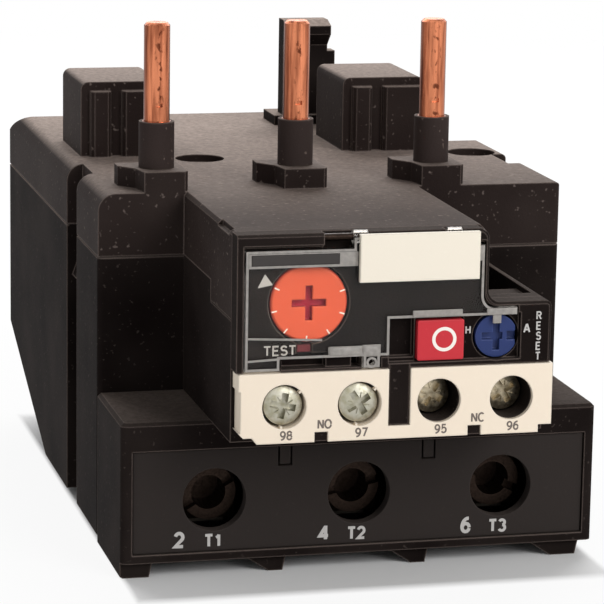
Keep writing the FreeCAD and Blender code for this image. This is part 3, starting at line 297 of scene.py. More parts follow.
# The upper shell comes from a second mould, with a coarser grain that looks greyer than the base
SHELL = moulded("glass_filled_polyamide_grained", "#241c1a", "#8b7d76", 0.35, 0.12, roughness=0.7,
                fleck=0.4, specular=0.04, wear_and_highlight=0.6, dust=0.85)
# Collars of the pins: a coarser spark finish, with more of the glass at the surface
COLLAR = moulded("glass_filled_polyamide_rough", "#332a28", "#7a6b63", 0.4, 0.1, roughness=0.75,
                 fleck=0.5, specular=0.06, wear_and_highlight=0.5, dust=0.5)
# The same polyamide in the terminal insert: a slightly smoother tool
PANEL = moulded("polyamide_charcoal", "#2f2a28", "#4a4340", 0.3, 0.03, roughness=0.7, fleck=0.15,
                specular=0.06, wear_and_highlight=0.4, dust=0.5)
# Unfilled polyamide in cream: satin, dense colour
STRIP = moulded("polyamide_cream", "#efe0cc", "#f6ecdc", 0.4, 0.02, roughness=0.42, fleck=0.2,
                specular=0.4, wear_and_highlight=0.6)
# Snap-in marker: matt cream sheet, brighter than the strip
TAG = moulded("marker_sheet_ivory", "#ede4d4", "#f5edde", 0.5, 0.02, roughness=0.5, fleck=0.2,
              specular=0.3)
# Natural polyamide of the inner slides, lever and carrier
NATURAL = moulded("polyamide_natural", "#d9d3c4", "#e6e0d2", 0.4, 0.02, roughness=0.4, fleck=0.1)
# Acetal controls: dense colour, smoother than the casing
STOP_RED = moulded("acetal_signal_red", "#c42a35", "#dd4b52", 0.35, 0.02, roughness=0.42, fleck=0.15,
                   specular=0.3, wear_and_highlight=0.4)
KNOB_BLUE = moulded("acetal_blue", "#223264", "#44548c", 0.35, 0.02, roughness=0.4, fleck=0.3,
                    specular=0.25, wear_and_highlight=0.6)
TEST_RED = moulded("acetal_dark_red", "#6c2a30", "#86444a", 0.35, 0.02, roughness=0.45, fleck=0.1,
                   specular=0.2, wear_and_highlight=0.3)
# Bare name plate: matt charcoal film
PLATE_FILM = moulded("bare_plate_film", "#2c2725", "#3a3431", 0.4, 0.01, roughness=0.45, fleck=0.1,
                     specular=0.4, wear_and_highlight=0.2)
print("plastics:", len(bpy.data.materials))

# %% [markdown]
# ## Painted shade in the dial's slot
# The setting dial is orange acetal, and its screwdriver slot looks crimson, because light that enters
# the slot bounces between red walls before it leaves. A few bounces in a slot one millimetre wide are
# slow to trace, so the depth below the dial's face drives the colour instead.

# %% Dial material
DIAL_ORANGE = moulded("acetal_orange_red", "#de5c3c", "#ea7f5c", 0.35, 0.02, roughness=0.42, fleck=0.15,
                      specular=0.3, wear_and_highlight=0.3)
dial_front_y = low("setting_dial").y
SLOT_START = 0.05 * MM
SLOT_DEEP = 0.5 * MM


def slot_depth(tree):
    """0 on the dial's face and 1 from half a millimetre below it."""
    return ramp(tree, axes_of(tree, "Object")["Y"], dial_front_y + SLOT_START, dial_front_y + SLOT_DEEP)


# Painted shade: the slot turns crimson with depth, for light that bounces between its red walls
recoloured(DIAL_ORANGE, slot_depth, "#a81836")
print("dial face at y in mm:", round(dial_front_y / MM, 2))

# %% [markdown]
# ## Clear polycarbonate
# A clear moulding shows itself mostly at its edges, which gather light and look pale, while its faces
# nearly vanish. The edges of this flat cover are the faces that don't look to the front or back, so
# the object-space normal tells them apart, and they get a cloudy finish. Glass blocks the light of a
# lamp in a path tracer, so the plate lets shadow rays through, and the dial behind stays bright.

# %% Clear and frosted materials
POLYCARBONATE_IOR = 1.585
POLISHED = 0.03
HAZY = 0.45
FROST_MM = 0.6


def clear_polycarbonate():
    """Clear plate whose thin edges are pale: polycarbonate, polished mould, cut edges hazy."""
    material, tree, shader = new_material("polycarbonate_clear", Roughness=POLISHED, IOR=POLYCARBONATE_IOR,
                                          Transmission_Weight=1.0, Specular_Tint=linear("#808080"))
    facing = maths(tree, "ABSOLUTE", axes_of(tree, "Normal")["Y"])
    edge = ramp(tree, facing, 0.3, 0.9, 1.0, 0.0)
    tree.links.new(blend(tree, edge, "#f6f4f0", "#bdb6ae"), shader.inputs["Base Color"])
    tree.links.new(ramp(tree, edge, 0.0, 1.0, POLISHED, HAZY), shader.inputs["Roughness"])
    rays = add(tree, "ShaderNodeLightPath")
    see_through = add(tree, "ShaderNodeBsdfTransparent", values={"Color": linear("#f2f0ec")})
    mixed = add(tree, "ShaderNodeMixShader", {0: rays.outputs["Is Shadow Ray"],
                                              1: shader.outputs["BSDF"],
                                              2: see_through.outputs["BSDF"]})
    tree.links.new(mixed.outputs["Shader"], tree.nodes["Material Output"].inputs["Surface"])
    return material


def frosted_polycarbonate():
    """Rounded rims and textured zones of the same moulding, which scatter light and read as pale grey."""
    material, tree, shader = new_material("polycarbonate_frosted", Roughness=0.5, IOR=POLYCARBONATE_IOR,
                                          Transmission_Weight=0.35)
    frost = pattern(tree, object_place(tree, FROST_MM), 2.0)
    tree.links.new(blend(tree, frost, "#8a847f", "#c4beb7"), shader.inputs["Base Color"])
    return material


CLEAR = clear_polycarbonate()
FROSTED = frosted_polycarbonate()
print("refractive index of the cover:", POLYCARBONATE_IOR)

# %% [markdown]
# ## Metals
# A metal is coloured by its reflection, so the interest comes from how it was worked. Drawn copper
# has fine lines along its length and dark handling stains. Zinc plating with a thin passivation
# layer shifts from grey to yellow-green. Each takes two noise patterns: one for the tone, one
# stretched along the tool marks for the roughness.

# %% Metal materials
TOOL_MARK_DEPTH = 0.03 * MM
STAIN_START = 0.42
STAIN_FULL = 0.68


def metal(name, hex_colour, stain_colour, roughness, line_mm, stain_mm, stain_share):
    """Worked metal: stretched tool lines in the roughness and bump, soft stains in the colour."""
    material, tree, shader = new_material(name, Metallic=1.0)
    marks = pattern(tree, object_place(tree, *line_mm), 3.0)
    stain = ramp(tree, pattern(tree, object_place(tree, *stain_mm), 3.0), STAIN_START, STAIN_FULL,
                 0.0, stain_share)
    tree.links.new(blend(tree, stain, hex_colour, stain_colour), shader.inputs["Base Color"])
    tree.links.new(ramp(tree, marks, 0.3, 0.7, roughness - 0.1, roughness + 0.15),
                   shader.inputs["Roughness"])
    bump = add(tree, "ShaderNodeBump", {"Height": marks}, {"Strength": 0.4, "Distance": TOOL_MARK_DEPTH})
    tree.links.new(bump.outputs["Normal"], shader.inputs["Normal"])
    return material


# Hard-drawn copper rod: lines along the pin, brown handling stains
COPPER = metal("drawn_copper", "#d88661", "#5e2413", 0.32, line_mm=(0.25, 0.25, 6.0),
               stain_mm=(0.7, 0.7, 9.0), stain_share=0.75)
# Zinc plated and passivated steel: pale grey with a yellow-green bloom
ZINC = metal("zinc_plated_steel", "#b7b4a6", "#8b8668", 0.46, line_mm=(0.5, 2.0, 0.5),
             stain_mm=(0.9,), stain_share=0.6)
# The same plating, browner and darker, as painted shade on the two heads that sit deep
SHADED_ZINC = metal("zinc_plating_with_painted_shade", "#c9bca2", "#5b4e37", 0.36, line_mm=(0.5, 2.0, 0.5),
                  stain_mm=(0.9,), stain_share=0.7)
# Steel of the terminal screws, clamps and hinge pin, lightly oiled; its near-black colour is painted shade
SHADED_STEEL = metal("steel_with_painted_shade", "#2d241f", "#120d0b", 0.4, line_mm=(0.3, 2.0, 0.3),
                   stain_mm=(0.3, 4.0, 0.3), stain_share=0.6)
# Tin plated copper bars, painted a dark grey with darker patches
TIN = metal("tin_plated_copper", "#57514a", "#2c2825", 0.5, line_mm=(2.5, 0.4, 0.4), stain_mm=(2.5,),
            stain_share=0.5)
# Rolled bimetal strip: fine rolling lines along its height
BIMETAL = metal("rolled_bimetal", "#a9a39b", "#8c7f70", 0.34, line_mm=(0.3, 0.3, 5.0), stain_mm=(3.0,),
                stain_share=0.5)
# Nickel chromium ribbon: darker, heat tinted
RIBBON = metal("nickel_chromium_ribbon", "#8d8379", "#6b5546", 0.4, line_mm=(2.0, 2.0, 0.3),
               stain_mm=(2.0,), stain_share=0.7)
# Patented spring wire, lightly oiled
SPRING = metal("spring_wire", "#8f8f8d", "#6e6c68", 0.3, line_mm=(0.4,), stain_mm=(1.5,),
               stain_share=0.4)
print("all materials:", len(bpy.data.materials))

# %% [markdown]
# ## Painted shade and nicks on the copper blades
# The long edges of a blade are painted darker than its flats, as painted shade, and plugging it in and
# out leaves small dark nicks along its middle. The three blades stand at one pitch, so a ping-pong of
# the distance from the middle blade gives every point its distance from the nearest blade's axis.

# %% Painted shade at the edges, and nicks of the blades
BLADE_TIP = 5 * MM
EDGE_SHADE_SHARE = 0.75
NICK_SHARE = 0.85
NICK_MM = (0.6, 0.6, 1.1)
NICK_START = 0.57
NICK_FULL = 0.66
pin_x = middle("power_pin_2").x
pin_pitch = middle("power_pin_3").x - pin_x
pin_top_z = high("power_pin_2").z
pin_half = max(vertex.co.x for vertex in nodes["power_pin_2"].data.vertices
               if vertex.co.z > pin_top_z - BLADE_TIP) - pin_x


def blade_shade_and_nicks(tree):
    """How dark a point of a blade is: painted shade at its edges, and the nicks along its middle."""
    from_middle = maths(tree, "SUBTRACT", axes_of(tree, "Object")["X"], pin_x)
    off_axis = maths(tree, "PINGPONG", from_middle, pin_pitch / 2)
    # Painted shade along the long edges of each blade
    painted_edge_shade = ramp(tree, off_axis, 0.7 * pin_half, 0.98 * pin_half, 0.0, EDGE_SHADE_SHARE)
    near_axis = ramp(tree, off_axis, 0.1 * pin_half, 0.5 * pin_half, NICK_SHARE, 0.0)
    nick = ramp(tree, pattern(tree, object_place(tree, *NICK_MM), 2.0), NICK_START, NICK_FULL)
    return maths(tree, "MAXIMUM", painted_edge_shade, maths(tree, "MULTIPLY", nick, near_axis))


# One dark brown for the painted edge shade and the nicks
recoloured(COPPER, blade_shade_and_nicks, "#4b1d10")
print("blade width in mm:", round(2 * pin_half / MM, 2))

# %% [markdown]
# ## Give every part its finish
# The record of the part names one material slot for each node. Mapping slot names to materials here
# keeps that link: change the map and every part made of that stuff follows.

# %% Assign materials by slot
FINISH = {
    "housing_black": HOUSING, "panel_grey": PANEL, "strip_cream": STRIP, "clear_plastic": CLEAR,
    "tag_white": TAG, "dial_orange": DIAL_ORANGE, "button_red": STOP_RED, "knob_blue": KNOB_BLUE,
    "test_red": TEST_RED, "inner_white": NATURAL, "zinc_steel": ZINC, "dark_steel": SHADED_STEEL,
    "tinned_copper": TIN, "copper": COPPER, "bimetal": BIMETAL, "heater_ribbon": RIBBON,
    "spring_steel": SPRING,
}
# Parts whose finish differs from the rest of their slot; the clamp cages and hinge pin are dark as painted
# shade
OWN_FINISH = {
    "clamp_cage_1": SHADED_STEEL, "clamp_cage_2": SHADED_STEEL, "clamp_cage_3": SHADED_STEEL,
    "cover_hinge_pin": SHADED_STEEL, "pin_sleeves": COLLAR, "top_cover": SHELL,
}
slot_of = {part["node"]: part["material_slot"] for part in frame["record"]["subparts"]}
for name, part in nodes.items():
    part.data.materials.clear()
    part.data.materials.append(OWN_FINISH.get(name, FINISH[slot_of[name]]))
print("slots in use:", len(set(slot_of.values())))

# %% [markdown]
# ## The camera
# A long lens, a little above the control face and to its left, shows the face, a flank and the roof
# together. Its place could be typed as coordinates, but a distance, two angles and a roll about the
# point that it aims at are easier to adjust, and three directions make the turn from them.

# %% Camera
CAMERA_TARGET = Vector((-1.79, -14.05, 32.95)) * MM
CAMERA_DISTANCE = 461 * MM
CAMERA_AZIMUTH = math.radians(-14)
CAMERA_ELEVATION = math.radians(11.79)
CAMERA_ROLL = math.radians(0.92)
backwards = Vector((math.sin(CAMERA_AZIMUTH) * math.cos(CAMERA_ELEVATION),
                    -math.cos(CAMERA_AZIMUTH) * math.cos(CAMERA_ELEVATION),
                    math.sin(CAMERA_ELEVATION)))
level_right = Vector((0, 0, 1)).cross(backwards).normalized()
level_up = backwards.cross(level_right)
camera_right = level_right * math.cos(CAMERA_ROLL) + level_up * math.sin(CAMERA_ROLL)
camera_up = level_up * math.cos(CAMERA_ROLL) - level_right * math.sin(CAMERA_ROLL)
camera_data = bpy.data.cameras.new("camera")
camera_data.lens = 181.85
camera_data.sensor_width = 36.0
camera_data.clip_start = 0.01
camera = bpy.data.objects.new("camera", camera_data)
turn = Matrix((camera_right, camera_up, backwards)).transposed().to_4x4()
camera.matrix_world = Matrix.Translation(CAMERA_TARGET + backwards * CAMERA_DISTANCE) @ turn
scene.collection.objects.link(camera)
scene.camera = camera
print("camera height in mm:", round(camera.location.z / MM))

# %% [markdown]
# ## Soft light
# Black plastic shows its form by what it mirrors, so the lamps are large and far to the sides: one
# key at the front right, one panel above and behind, which draws the roof's sheen, and a weak fill.
# Small lamps would leave hard glints on the grain.

# %% Lamps
centre = (Vector(cad_box[0]) + Vector(cad_box[1])) / 2


def soft_light(name, place, width, height, watts):
    """A rectangular lamp at place that points at the middle of the relay."""
    data = bpy.data.lights.new(name, "AREA")
    data.shape = "RECTANGLE"
    data.size = width
    data.size_y = height
    data.energy = watts
    lamp = bpy.data.objects.new(name, data)
    facing = (centre - Vector(place)).to_track_quat("-Z", "Y")
    lamp.matrix_world = Matrix.Translation(Vector(place)) @ facing.to_matrix().to_4x4()
    scene.collection.objects.link(lamp)


soft_light("key_front_right", (0.4, -0.75, 0.45), 0.5, 0.5, 4.9)
soft_light("top_rear_panel", (0.1, 0.55, 0.55), 0.9, 0.5, 6.5)
soft_light("fill_front_left", (-0.7, -0.6, 0.35), 0.5, 0.6, 0.8)
print("lamps:", len(bpy.data.lights))

# %% [markdown]
# ## A white background that doesn't light the relay
# A bright world would wash the black plastic out. So the world is dim for the rays that light things,
# and plain white for the rays that end in the picture: straight ones, mirrored ones, and ones that
# came through the clear cover.

# %% World
def background_rays(tree):
    """1 for rays that should see the plain white background: straight, mirrored or through glass."""
    rays = add(tree, "ShaderNodeLightPath").outputs
    mirrored = maths(tree, "MAXIMUM", rays["Is Camera Ray"], rays["Is Glossy Ray"])
    return maths(tree, "MAXIMUM", mirrored, rays["Is Transmission Ray"])


WORLD_DIM = 0.3
world = bpy.data.worlds.new("studio")
world.use_nodes = True
scene.world = world
world_tree = world.node_tree
world_tree.nodes.clear()
dim = add(world_tree, "ShaderNodeBackground", values={"Color": linear("#ffffff"), "Strength": WORLD_DIM})
white = add(world_tree, "ShaderNodeBackground", values={"Color": linear("#ffffff"), "Strength": 1.0})
sky = add(world_tree, "ShaderNodeMixShader", {0: background_rays(world_tree), 1: dim.outputs["Background"],
                                              2: white.outputs["Background"]})
add(world_tree, "ShaderNodeOutputWorld", {"Surface": sky.outputs["Shader"]})
print("world light:", WORLD_DIM)

# %% [markdown]
# ## The floor
# The floor is white in the same way, but not quite: near the relay a tenth of it stays plain paint,
# which takes the relay's shadow. Under the relay it is all paint, because that part of the floor shows
# through the cable entries, where it should be dark.

# %% Floor
FLOOR_HALF = 4.0
FRONT_MARGIN = 5 * MM
FADE_X = 1 * MM
FADE_Y = 3 * MM
PLAIN_SHARE = 0.9
NEAR = 0.15
FAR = 0.6
floor_mesh = bpy.data.meshes.new("floor")
floor_mesh.from_pydata([(-FLOOR_HALF, -FLOOR_HALF, 0), (FLOOR_HALF, -FLOOR_HALF, 0),
                        (FLOOR_HALF, FLOOR_HALF, 0), (-FLOOR_HALF, FLOOR_HALF, 0)], [], [(0, 1, 2, 3)])
floor = bpy.data.objects.new("floor", floor_mesh)
scene.collection.objects.link(floor)
floor_material = bpy.data.materials.new("studio_floor")
floor_material.use_nodes = True
floor_tree = floor_material.node_tree
floor_tree.nodes.clear()
covered_x = (cad_box[1][0] - cad_box[0][0]) / 2
covered_y = (cad_box[1][1] - cad_box[0][1]) / 2 - FRONT_MARGIN
floor_axes = axes_of(floor_tree, "Object")
open_x = ramp(floor_tree, maths(floor_tree, "ABSOLUTE", floor_axes["X"]), covered_x - FADE_X, covered_x)
open_y = ramp(floor_tree, maths(floor_tree, "ABSOLUTE", floor_axes["Y"]), covered_y - FADE_Y, covered_y)
floor_place = add(floor_tree, "ShaderNodeTexCoord")
away = add(floor_tree, "ShaderNodeVectorMath", {0: floor_place.outputs["Object"]}, operation="LENGTH")
plain = ramp(floor_tree, away.outputs["Value"], NEAR, FAR, PLAIN_SHARE, 1.0)
bright = maths(floor_tree, "MULTIPLY", maths(floor_tree, "MAXIMUM", open_x, open_y), plain)
floor_share = maths(floor_tree, "MULTIPLY", background_rays(floor_tree), bright)
floor_paint = add(floor_tree, "ShaderNodeBsdfDiffuse", values={"Color": linear("#f4f4f4")})
floor_white = add(floor_tree, "ShaderNodeEmission", values={"Color": linear("#ffffff"), "Strength": 1.0})
floor_mix = add(floor_tree, "ShaderNodeMixShader", {0: floor_share, 1: floor_paint.outputs["BSDF"],
                                                    2: floor_white.outputs["Emission"]})
add(floor_tree, "ShaderNodeOutputMaterial", {"Surface": floor_mix.outputs["Shader"]})
floor.data.materials.append(floor_material)
print("floor width in m:", 2 * FLOOR_HALF)

# %% [markdown]
# ## One ribbon tool for ink, rims and ridges
# Ink strokes, the raised rims of a clear cover and the ring on a button have one thing in common: a
# narrow band of constant width that follows a line on a flat face. A curve with a bevel could make
# each, but its round section narrows at sharp corners. A ribbon built point by point keeps its width
# there, is closed on all sides, and has few faces.

# %% Ribbon and slab tools
def finished(name, mesh, material, body, slot):
    """Make mesh a piece of that name and finish, which rides on a body."""
    mesh.materials.clear()
    mesh.materials.append(material)
    piece = bpy.data.objects.new(name, mesh)
    scene.collection.objects.link(piece)
    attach(piece, body)
    return piece


def arc(centre_x, centre_z, radius_x, radius_z, start, end, steps=12):
    """Points along an elliptical arc, with its angles in degrees."""
    turns = [math.radians(start + (end - start) * step / steps) for step in range(steps + 1)]
    return [(centre_x + radius_x * math.cos(t), centre_z + radius_z * math.sin(t)) for t in turns]


# A sharp corner would stretch a ribbon's outer edge without end, so its lean has a limit
SHARPEST_LEAN = 0.45


def ribbon(shape, line, width, face_y, proud, closed=False):
    """Add to a bmesh a band of that width along (x, z) points, from face_y forwards by proud."""
    points = [Vector((x, z)) for x, z in line]
    count = len(points)
    stations = []
    for index, here in enumerate(points):
        before = points[index - 1] if closed or index > 0 else here
        after = points[(index + 1) % count] if closed or index < count - 1 else here
        arriving = (here - before).normalized()
        leaving = (after - here).normalized()
        along = (arriving + leaving).normalized()
        across = Vector((-along.y, along.x))
        straight = leaving if leaving.length > 0 else arriving
        lean = max(abs(across.dot(Vector((-straight.y, straight.x)))), SHARPEST_LEAN)
        reach = across * (width / 2 / lean)
        corners = []
        for side, y in ((1, face_y - proud), (-1, face_y - proud), (-1, face_y), (1, face_y)):
            spot = here + reach * side
            corners.append(shape.verts.new((spot.x, y, spot.y)))
        stations.append(corners)
    spans = list(zip(stations, stations[1:]))
    if closed:
        spans.append((stations[-1], stations[0]))
    for first, second in spans:
        for corner in range(4):
            following = (corner + 1) % 4
            shape.faces.new((first[corner], first[following], second[following], second[corner]))
    if not closed:
        shape.faces.new(stations[0])
        shape.faces.new(reversed(stations[-1]))


def mesh_of(name, shape):
    """The finished mesh of a bmesh, with its faces pointing outwards."""
    bmesh.ops.recalc_face_normals(shape, faces=shape.faces)
    mesh = bpy.data.meshes.new(name)
    shape.to_mesh(mesh)
    shape.free()
    return mesh


def slab(name, outline, face_y, proud, material, body, slot, edge=0.0):
    """A flat piece with an (x, z) outline, from face_y forwards by proud, its edges rounded."""
    shape = bmesh.new()
    back = shape.faces.new([shape.verts.new((x, face_y, z)) for x, z in outline])
    moved = bmesh.ops.extrude_face_region(shape, geom=[back])["geom"]
    bmesh.ops.translate(shape, verts=[v for v in moved if isinstance(v, bmesh.types.BMVert)],
                        vec=FRONT * proud)
    if edge:
        bmesh.ops.recalc_face_normals(shape, faces=shape.faces)
        bmesh.ops.bevel(shape, geom=list(shape.edges), offset=edge, segments=2, profile=0.5,
                        affect="EDGES")
    return finished(name, mesh_of(name, shape), material, body, slot)


def rectangle(left, right, bottom, top):
    """The four corners (x, z) of an upright rectangle."""
    return [(left, bottom), (right, bottom), (right, top), (left, top)]


# Where two strokes cross at one height their faces would flicker, so each is a little prouder
STROKE_STEP = 0.004 * MM


def ridge(name, lines, width, face_y, proud, material, body, slot, closed=False):
    """One piece made of ribbons along several lines, each a little prouder than the one it crosses."""
    shape = bmesh.new()
    for order, line in enumerate(lines):
        ribbon(shape, line, width, face_y, proud + order * STROKE_STEP, closed)
    return finished(name, mesh_of(name, shape), material, body, slot)


print("strokes rise by mm:", STROKE_STEP / MM)

# %% [markdown]
# ## Printed marks
# Terminal numbers on such a relay are pad printed: a film of ink a few hundredths of a millimetre
# thick, in an upright sans serif whose strokes all have one width. A font file would tie the lesson
# to one computer, so each letter is drawn here as the path of a pen, and the ribbon tool inks it.

# %% Inks and the paths of the letters
# Pad-printing ink, matt once dry: pale grey on the dark mouldings, brown-grey on the cream ones
INK_PALE = new_material("pad_print_ink_pale", Roughness=0.6, Base_Color=linear("#bcb9b6"))[0]
INK_DARK = new_material("pad_print_ink_brown", Roughness=0.6, Base_Color=linear("#6a5f58"))[0]
INK_WHITE = new_material("pad_print_ink_white", Roughness=0.5, Base_Color=linear("#f4ece4"))[0]
INK_FILM = 0.03 * MM

# Every letter stands on 0 and is 1 high, its pen lines given from corner to corner
PATHS = {
    "1": [[(0.08, 0.77), (0.26, 0.86), (0.33, 1.0)], [(0.33, 1.0), (0.33, 0.0)]],
    "2": [arc(0.31, 0.71, 0.27, 0.29, 165, -40) + [(0.03, 0.03), (0.6, 0.03)]],
    "3": [arc(0.29, 0.76, 0.25, 0.24, 155, -80), arc(0.29, 0.27, 0.28, 0.27, 80, -155)],
    "4": [[(0.44, 0.0), (0.44, 1.0)], [(0.44, 0.96), (0.02, 0.27), (0.62, 0.27)]],
    "5": [[(0.54, 1.0), (0.13, 1.0), (0.08, 0.5)] + arc(0.29, 0.33, 0.29, 0.33, 125, -150)],
    "6": [arc(0.3, 0.31, 0.27, 0.31, 0, 350), arc(0.48, 0.36, 0.46, 0.64, 190, 85)],
    "7": [[(0.02, 1.0), (0.58, 1.0), (0.22, 0.0)]],
    "8": [arc(0.3, 0.76, 0.24, 0.24, 0, 350), arc(0.3, 0.27, 0.28, 0.27, 0, 350)],
    "9": [arc(0.3, 0.69, 0.27, 0.31, 0, 350), arc(0.12, 0.64, 0.46, 0.64, 10, -95)],
    "T": [[(0.0, 1.0), (0.64, 1.0)], [(0.32, 1.0), (0.32, 0.0)]],
    "N": [[(0.03, 0.0), (0.03, 1.0)], [(0.06, 0.97), (0.57, 0.03)], [(0.6, 0.0), (0.6, 1.0)]],
    "O": [arc(0.37, 0.5, 0.37, 0.5, 0, 350)],
    "C": [arc(0.37, 0.5, 0.36, 0.5, 48, 312)],
    "E": [[(0.56, 1.0), (0.03, 1.0), (0.03, 0.0), (0.56, 0.0)], [(0.03, 0.52), (0.5, 0.52)]],
    "S": [arc(0.31, 0.76, 0.26, 0.24, 20, 250) + arc(0.31, 0.27, 0.28, 0.27, 80, -155)],
    "H": [[(0.03, 0.0), (0.03, 1.0)], [(0.6, 0.0), (0.6, 1.0)], [(0.03, 0.52), (0.6, 0.52)]],
    "A": [[(0.0, 0.0), (0.32, 1.0)], [(0.36, 1.0), (0.68, 0.0)], [(0.12, 0.32), (0.56, 0.32)]],
    "R": [[(0.03, 0.0), (0.03, 1.0), (0.34, 1.0)] + arc(0.34, 0.76, 0.24, 0.24, 80, -80)
          + [(0.03, 0.52)], [(0.34, 0.52), (0.6, 0.0)]],
}
LETTER_GAP = 0.24


def printed(name, words, centre_x, centre_z, face_y, height_mm, material, slot, pen=0.2, squeeze=1.0):
    """Words inked on a face that looks to the front, centred on a point, with letters of a height."""
    strokes = []
    cursor = 0.0
    for letter in words:
        paths = PATHS[letter]
        strokes += [[(x + cursor, z) for x, z in path] for path in paths]
        cursor += max(x for path in paths for x, z in path) + LETTER_GAP
    width = cursor - LETTER_GAP
    size = height_mm * MM / (1 + pen)
    placed = [[(centre_x + (x - width / 2) * size * squeeze, centre_z + (z - 0.5) * size)
               for x, z in stroke] for stroke in strokes]
    return ridge(name, placed, pen * size, face_y, INK_FILM, material, "housing", slot)


print("letters drawn:", len(PATHS))

# %% Terminal marks on the load panel
NUMBER_LEFT = 5.1 * MM
NUMBER_DROP = 5.7 * MM
TERMINAL_LEFT = 0.3 * MM
TERMINAL_DROP = 6.0 * MM
BOLD_PEN = 0.25
panel_face = low("front_panel").y
hole_z = middle("clamp_screw_1").z
for pole, (number, terminal) in enumerate([("2", "T1"), ("4", "T2"), ("6", "T3")], start=1):
    hole_x = middle("clamp_screw_%d" % pole).x
    printed("mark_" + number, number, hole_x - NUMBER_LEFT, hole_z - NUMBER_DROP, panel_face,
            height_mm=2.5, material=INK_PALE, slot="panel_grey", pen=BOLD_PEN)
    printed("mark_" + terminal, terminal, hole_x - TERMINAL_LEFT, hole_z - TERMINAL_DROP, panel_face,
            height_mm=2.05, material=INK_PALE, slot="panel_grey", pen=BOLD_PEN)
print("load marks at z in mm:", round((hole_z - TERMINAL_DROP) / MM, 1))

# %% Contact marks on the light strip
CONTACT_PAIRS = (("NO", "98", "97"), ("NC", "95", "96"))
NUMBER_RISE = 1.1 * MM
WORD_RISE = 2.5 * MM
strip_face = low("aux_terminal_strip").y
strip_low_z = low("aux_terminal_strip").z


def between_screws(left_screw, right_screw):
    """The x half way between two contact screws."""
    return (middle("aux_screw_" + left_screw).x + middle("aux_screw_" + right_screw).x) / 2


for number in ("98", "97", "95", "96"):
    printed("mark_" + number, number, middle("aux_screw_" + number).x + 0.3 * MM,
            strip_low_z + NUMBER_RISE, strip_face, 1.35, INK_DARK, "strip_cream")
for words, left_screw, right_screw in CONTACT_PAIRS:
    printed("mark_" + words, words, between_screws(left_screw, right_screw) + 0.4 * MM,
            strip_low_z + WORD_RISE, strip_face, 1.4, INK_DARK, "strip_cream")
print("strip foot at z in mm:", round(strip_low_z / MM, 1))

# %% [markdown]
# ## The control face
# Behind the clear cover lie a pointer for the dial and the word TEST, and beside the controls the
# letters for hand and automatic reset. They are printed on the recessed floor of the moulding, so
# the cover's own reflections pass over them.

# %% Marks on the control face
FILM_CLEARANCE = 0.01 * MM
RECESS_DEPTH = 1.1 * MM
RESET_PITCH = 1.43 * MM
bezel_face = low("front_bezel").y + FILM_CLEARANCE
recess_floor = low("front_bezel").y + RECESS_DEPTH
bezel_right = high("front_bezel").x
dial_centre = middle("setting_dial")
knob_centre = middle("reset_knob")
cover_left = low("dial_cover").x
cover_foot = low("dial_cover").z
cover_face = low("dial_cover").y
printed("mark_test", "TEST", cover_left + 5.0 * MM, cover_foot + 2.65 * MM, recess_floor, 1.45, INK_PALE,
        "housing_black", pen=0.19, squeeze=1.15)
printed("mark_hand", "H", knob_centre.x - 4.0 * MM, knob_centre.z + 0.9 * MM, recess_floor, 1.2, INK_PALE,
        "housing_black")
printed("mark_automatic", "A", bezel_right - 3.65 * MM, knob_centre.z + 1.1 * MM, bezel_face, 1.4,
        INK_PALE, "housing_black")
for place, letter in enumerate("RESET"):
    printed("mark_reset_%d" % (place + 1), letter, bezel_right - 1.95 * MM,
            knob_centre.z + 2.8 * MM - place * RESET_PITCH, bezel_face, 1.2, INK_PALE, "housing_black")
pointer_x = dial_centre.x - 6.1 * MM
pointer_z = dial_centre.z + 3.6 * MM
slab("dial_pointer", [(pointer_x - 1.1 * MM, pointer_z - 1.3 * MM),
                      (pointer_x + 1.0 * MM, pointer_z - 0.9 * MM),
                      (pointer_x - 0.1 * MM, pointer_z + 0.6 * MM)],
     recess_floor, INK_FILM, INK_PALE, "housing", "housing_black")
print("recess floor at y in mm:", round(recess_floor / MM, 2))

# %% [markdown]
# ## Ring on the stop button
# The ring is the international sign for stop, moulded into the button's face and filled with white.
# Drawn as one closed ribbon it keeps the same width all the way round.

# %% Stop ring
RING_WIDTH = 0.47 * MM
RING_PROUD = 0.04 * MM
stop_centre = middle("stop_button")
stop_face = low("stop_button").y
ring_line = arc(stop_centre.x + 0.5 * MM, stop_centre.z + 0.1 * MM, 1.5 * MM, 1.48 * MM, 0, 352, steps=44)
ridge("stop_ring", [ring_line], RING_WIDTH, stop_face, RING_PROUD, INK_WHITE, "stop_button",
      "button_red", closed=True)
print("stop button face at y in mm:", round(stop_face / MM, 2))

# %% [markdown]
# ## Moulded detail of the clear cover
# The cover's rim, its ribs and its snap are where clear plastic turns pale: every rounded edge sends
# light towards the eye. The rim follows the cover's own outline, so it is read from the flat front
# face of the part: the edges that only one face owns, joined end to end, are that outline.

# %% The cover's outline
def outline_of(node, face_y):
    """Corner points (x, z) of the flat face at face_y of a part, in order round its outline."""
    shape = bmesh.new()
    shape.from_mesh(nodes[node].data)
    bmesh.ops.remove_doubles(shape, verts=shape.verts, dist=0.001 * MM)
    flat = [face for face in shape.faces if all(abs(v.co.y - face_y) < 0.01 * MM for v in face.verts)]
    owned = [edge for edge in shape.edges if sum(face in flat for face in edge.link_faces) == 1]
    loops = []
    while owned:
        edge = owned.pop()
        loop = [edge.verts[0], edge.verts[1]]
        while loop[-1] is not loop[0]:
            step = next(e for e in owned if loop[-1] in e.verts)
            owned.remove(step)
            loop.append(step.other_vert(loop[-1]))
        loops.append([(v.co.x, v.co.z) for v in loop[:-1]])
    shape.free()
    return max(loops, key=len)


SHARPEST_CORNER = 0.5


